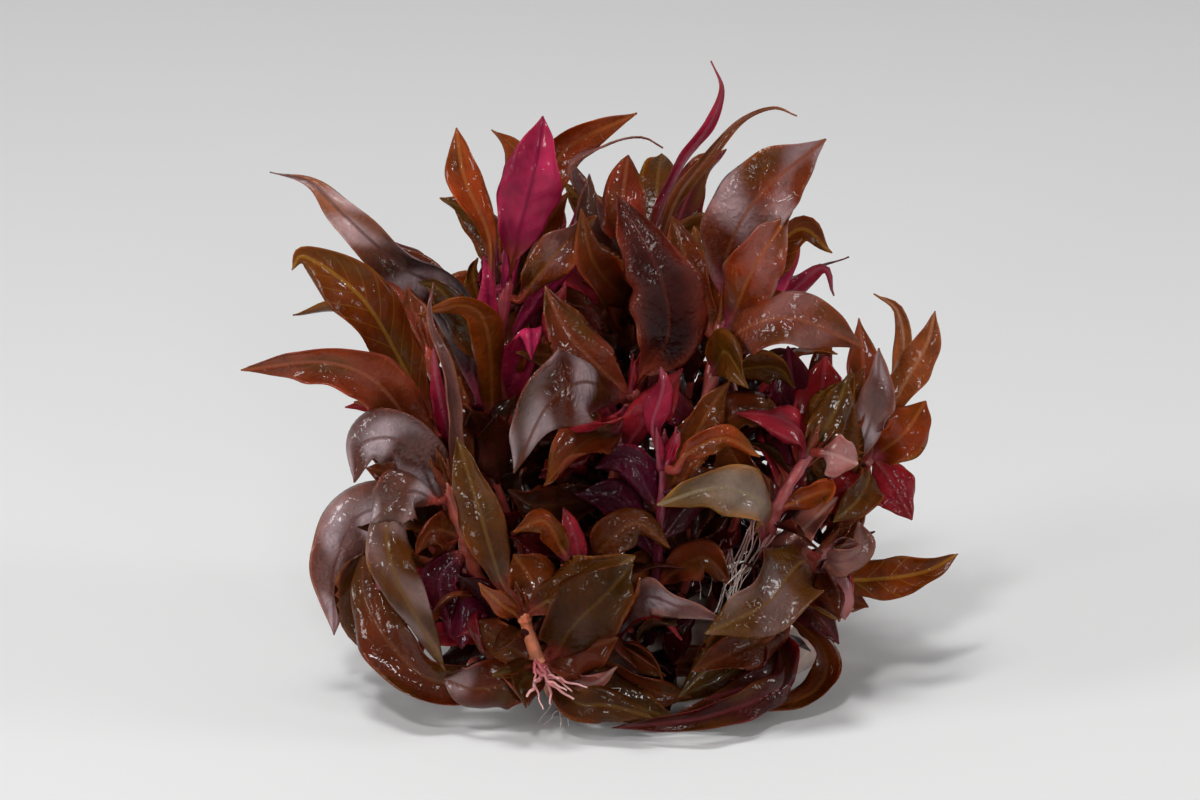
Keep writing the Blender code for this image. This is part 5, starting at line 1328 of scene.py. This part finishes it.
innerMake = {
    "radius": 0.5,
    "taper": (1.1, 0.7),  # shares of the radius at the foot and at the top
    "intoGel": 2.4,
    "lowest": 0.7,
    "rows": 40,
    "sides": 10,
    "nodes": 8,
    "tries": 8,
    "at": (0.12, 0.86),  # where the lowest pair leaves the stem, and how much of it the pairs take
    "stray": 0.2,  # radians off the heading, once for the first try, twice for the second, and on
    "climb": (-0.3, 1.2, 0.35),  # radians at the foot, how much more at the top, and its chance part
    "length": 10.5,
    "longer": (0.7, 1.05),
    "less": 0.93,  # share of the length that each further try leaves
    "wide": 4.3,
    "wider": (0.8, 1.15),
    "arch": 0.09,
    "turn": 30,
    "twist": 30,
    "cup": 14,
    # painted shade: how dark the leaves are painted, in the thick of the clump
    "deep": 0.2,
    "grid": (22, 8),
    # foot on the gel, lean of the top, height of the top, and the plantlet that it belongs to
    "stems": [
        ((-4, 3), (-9, -2), 31, "middle"), ((0, 2), (-1, -3), 30, "middle"),
        ((4, 4), (1, -1), 33, "middle"), ((8, 3), (10, -2), 31, "right_top"),
        ((12, 3), (15, -2), 28, "right_top"), ((16, 3), (20, -1), 25, "right"),
        ((-3, -3), (-10, -7), 24, "left"), ((2, -6), (-4, -10), 17, "centre"),
        ((8, -7), (10, -11), 16, "pink"), ((12, -6), (15, -9), 20, "right_mid"),
        ((-7, -5), (-16, -11), 17, "left_low"), ((-8, -2), (-19, -6), 22, "left"),
        ((14, -8), (21, -11), 14, "right_low"), ((-3, -8), (-9, -15), 10, "front_low"),
        ((5, -9), (4, -15), 9, "centre"), ((18, -4), (24, -6), 13, "right_low"),
        ((-2, 6), (-6, 6), 34, "back_middle_left"), ((5, 8), (5, 10), 32, "back_middle_right"),
        ((11, 7), (13, 9), 29, "back_right"), ((-3, 0), (-13, 0), 26, "left"),
    ],
    "tones": ("umber", "wine", "brown", "crimson", "umber", "plum", "olive", "russet"),
}


def innerShells(foot, lean, height, chance):
    # A plantlet in the thick of the clump: a thin stem with pairs of leaves, each pair turned by a
    # right angle from the one below it. A leaf that finds no room is tried with other headings
    make = innerMake
    start = onGel(*foot)
    top = np.array([*lean, height], float)
    stem = [start, start * 0.5 + top * 0.5 + chance.uniform(-1, 1, 3), top]
    line = smoothLine(stem, np.linspace(0, 1, make["rows"]))
    line = np.vstack([line[0] - upward * make["intoGel"], line])
    line[:, 2] = np.maximum(line[:, 2], make["lowest"])
    radii = np.linspace(*make["taper"], len(line)) * make["radius"]
    shells = [stemShell(line, radii, make["sides"], stemMake["colours"], chance)]
    firstTurn = chance.uniform(0, math.pi)
    base, more, stray = make["climb"]
    for node in range(make["nodes"]):
        share = node / (make["nodes"] - 1)
        at = make["at"][0] + make["at"][1] * share
        for side in (0, math.pi):
            for trial in range(make["tries"]):
                bearing = firstTurn + node * math.pi / 2 + side
                bearing = bearing + chance.uniform(-1, 1) * make["stray"] * (trial + 1)
                climb = base + more * share + chance.uniform(-stray, stray)
                length = make["length"] * chance.uniform(*make["longer"]) * make["less"] ** trial
                wide = make["wide"] * chance.uniform(*make["wider"])
                entry = arched(make, stem, at, bearing, climb, length, wide, chance)
                shell = leafShell(entry, stem, True, make["grid"], chance)
                if roomFor(shell, make["grid"]):
                    shells.append(shell)
                    break
    print(f"inner plantlet at {foot}: {len(shells) - 1} leaves")
    return shells


inner = {}
for number, (foot, lean, height, owner) in enumerate(innerMake["stems"]):
    made = innerShells(foot, lean, height, np.random.default_rng(500 + number))
    inner.setdefault(owner, []).append(made)

for number, (name, plantlet) in enumerate(plantlets.items()):
    chance = np.random.default_rng(900 + number)
    for title, entry in plantlet["leaves"].items():
        slot = title.split("_")[0]
        entry["tone"] = ownTones.get(title, slot)
        entry["creased"] = ownCreases.get(title, 0.5)
        entry["film"] = ownFilms.get(title, 0.7)
        entry["deep"] = ownPaintedShade.get(title, 1)
        entry["bloom"] = ownPaintedSheens.get(title, 0)
        entry["large"] = True
        shell = leafShell(entry, plantlet["stem"], False, leafMake["largeGrid"], chance)
        buildPiece("leaf_" + title + "_grown", [shell], [leafWet], ["leaf_" + title])
    shells = plantletShells(name, plantlet, chance)
    shells += fillShells(name, plantlet, np.random.default_rng(300 + number))
    kinds = [0] + [1] * (len(shells) - 1)
    for made in inner.get(name, []):
        shells += made
        kinds += [0] + [1] * (len(made) - 1)
    buildPiece("plantlet_" + name, shells, [stemWet, leafWet], ["stem_" + name], kinds)
print("leaves and stems grown")

rootMake = {
    "bow": (-0.12, 0.16),  # how far the fibres bow sideways, by turns, as a share of their run
    "spread": 0.8,
    "wander": 0.12,
    "turns": (1.5, 3.5),  # waves from the knot to the tip
    "finer": 0.6,  # how much thinner a fibre is at its tip, as a share
    "lowest": 0.3,
    "rows": 44,
    "sides": 8,
    "colours": ("#A86A64", "#DCC0B6"),
}


def rootShells(tuft, chance):
    # Fibres from the knot to each tip: a bowed curve, plus slow sines in all three directions
    # that fade toward both ends as half a sine wave does
    make = rootMake
    shells = []
    share = np.linspace(0, 1, make["rows"])[:, None]
    for number, tip in enumerate(tuft["tips"]):
        run = tip - tuft["knot"]
        sideways = np.cross(run, upward) * make["bow"][number % 2]
        for _ in range(tuft["fibres"]):
            start = tuft["knot"] - run * 0.06 + chance.uniform(-1, 1, 3) * tuft["apart"]
            end = tip + chance.uniform(-1, 1, 3) * min(make["spread"], tuft["apart"])
            middle = start * 0.5 + end * 0.5 + sideways + chance.uniform(-0.3, 0.3, 3)
            line = smoothLine([start, middle, end], share[:, 0])
            turns = chance.uniform(*make["turns"], 3) * 2 * math.pi * share + chance.uniform(0, 6, 3)
            line = line + make["wander"] * np.sin(turns) * np.sin(math.pi * share)
            line[:, 2] = np.maximum(line[:, 2], make["lowest"])
            radii = chance.uniform(*tuft["radius"]) * (1 - make["finer"] * share[:, 0])
            colours = tuft.get("colours", make["colours"])
            shells.append(stemShell(line, radii, make["sides"], colours, chance))
    return shells


for number, (name, tuft) in enumerate(rootTufts.items()):
    chance = np.random.default_rng(70 + number)
    shells = rootShells(tuft, chance) + rootShells(moreRoots[name], chance)
    buildPiece(name + "_fibres", shells, [rootWet], [name])


def gelShell():
    # A squared-off dome on a flat foot. The rows go out over the underside and then climb: the
    # height is the sine of the climb's angle and the reach outward the root of its cosine. The
    # outline is uneven as the solid's is, and small lumps are products of sines
    make = gel
    under = make["underside"]
    bearing = np.linspace(0, 2 * math.pi, make["columns"], endpoint=False)[None, :]
    climb = np.linspace(-under, 1, make["rows"])[:, None]
    angle = np.clip(climb, 0, 1) * math.pi / 2
    reach = np.where(climb < 0, 1 + climb / under * 0.999, np.sqrt(np.maximum(np.cos(angle), 0)))
    height = make["height"] * np.sin(angle)
    uneven = 1 + sum(share * np.sin(waves * bearing + start) for waves, start, share in make["outline"])
    lumps = np.sin(bearing * 7 + 3 * climb) * np.sin(climb * 9 + 2 * np.cos(bearing * 2))
    lumps = lumps + 0.6 * np.sin(bearing * 13 + 1.3) * np.sin(climb * 17 + bearing * 2)
    lumps = make["lumps"] * lumps * smooth(0.02, 0.2, climb) * smooth(0, 0.3, 1 - climb)
    inward = make["roundedFoot"] * smooth(0.1, 0, np.abs(climb))
    along, deep = (half * uneven * reach + lumps - inward for half in make["half"])
    places = np.stack([make["middle"][0] + along * np.cos(bearing),
                       make["middle"][1] + deep * np.sin(bearing),
                       np.broadcast_to(height, along.shape) + 0.3 * lumps], axis=-1)
    places[..., 2] = np.maximum(places[..., 2], 0)
    unpainted = np.zeros(places.shape)
    return ringShell(places, dict.fromkeys(("tint", "veinTint", "veins"), unpainted))


buildPiece("culture_gel_lump", [gelShell()], [gelWet], ["culture_gel"])
print("roots and gel laid")


def plainMaterial(name, colour, roughness):
    # Matt card
    material, tree = newMaterial(name)
    shader = addNode(tree, "ShaderNodeBsdfPrincipled", Base_Color=(*linear(colour), 1), Roughness=roughness)
    addNode(tree, "ShaderNodeOutputMaterial", Surface=shader.outputs[0])
    return material


studio = {
    "floorHalf": 3.0,
    "floorColour": "#ECECEC",
    "aim": (0, 0, 0.027),  # what the lamps look at
    "behind": 0.36,  # brightness of the pale room behind, above and in front of the clump
    "above": 0.05,
    "before": 0.03,
    # name: (from, size in metres, power in watts)
    "lights": {
        "top": ((-0.12, -0.05, 0.9), 0.26, 3.2),
        "key": ((-0.18, -0.5, 0.72), 0.11, 1.95),
        "nearby": ((0.12, -0.95, 0.36), 0.14, 1.2),
        "lowLeft": ((-0.4, -0.74, 0.2), 0.12, 0.8),
        "lowRight": ((0.36, -0.78, 0.18), 0.1, 0.6),
        "left": ((-0.78, -0.3, 0.3), 0.24, 2.3),
        "right": ((0.8, -0.1, 0.3), 0.22, 1.45),
    },
}


def stageSet():
    # A pale floor, round soft lamps, and a room whose brightness goes from one level in front of
    # the clump to another behind it, and to a third overhead
    half = studio["floorHalf"]
    mesh = bpy.data.meshes.new("floor")
    corners = [(-half, -half, 0), (half, -half, 0), (half, half, 0), (-half, half, 0)]
    mesh.from_pydata(corners, [], [(0, 1, 2, 3)])
    mesh.materials.append(plainMaterial("pale card", studio["floorColour"], 0.8))
    floor = bpy.data.objects.new("floor", mesh)
    bpy.context.scene.collection.objects.link(floor)
    aim = Vector(studio["aim"])
    for name, (place, size, power) in studio["lights"].items():
        light = bpy.data.lights.new(name, "AREA")
        light.shape = "DISK"
        light.size = size
        light.energy = power
        lamp = bpy.data.objects.new(name, light)
        lamp.location = place
        lamp.rotation_euler = (Vector(place) - aim).to_track_quat("Z", "Y").to_euler()
        bpy.context.scene.collection.objects.link(lamp)
    world = bpy.data.worlds.new("studio")
    world.use_nodes = True
    tree = world.node_tree
    tree.nodes.clear()
    facing = addNode(tree, "ShaderNodeSeparateXYZ",
                     Vector=addNode(tree, "ShaderNodeTexCoord").outputs["Generated"])
    depth = addNode(tree, "ShaderNodeMapRange", settings={"interpolation_type": "SMOOTHSTEP"},
                    Value=facing.outputs["Y"], From_Min=-0.7, From_Max=0.3,
                    To_Min=studio["before"], To_Max=studio["behind"])
    height = addNode(tree, "ShaderNodeMapRange", Value=facing.outputs["Z"],
                     From_Min=0.3, From_Max=1.0, To_Min=0.0, To_Max=1.0)
    glow = addNode(tree, "ShaderNodeMix", settings={"data_type": "FLOAT"}, in0=height.outputs[0],
                   in2=depth.outputs[0], in3=studio["above"])
    sky = addNode(tree, "ShaderNodeBackground", Color=(1, 1, 1, 1), Strength=glow.outputs[0])
    addNode(tree, "ShaderNodeOutputWorld", Surface=sky.outputs[0])
    bpy.context.scene.world = world
    bpy.context.scene.view_settings.view_transform = "Standard"


def addCamera():
    # At the photograph's viewing angle and distance
    data = bpy.data.cameras.new("camera")
    data.lens = camera["lens"]
    data.sensor_width = camera["sensor"]
    data.clip_start = 0.01
    eye = (viewAxes[0] * camera["aimAcross"] + viewAxes[1] * camera["aimUp"]
           + viewAxes[2] * camera["distance"]) * mm
    holder = bpy.data.objects.new("camera", data)
    holder.matrix_world = Matrix.Translation(Vector(eye)) @ Matrix(viewAxes.T.tolist()).to_4x4()
    bpy.context.scene.collection.objects.link(holder)
    bpy.context.scene.camera = holder


stageSet()
addCamera()
print("studio set")
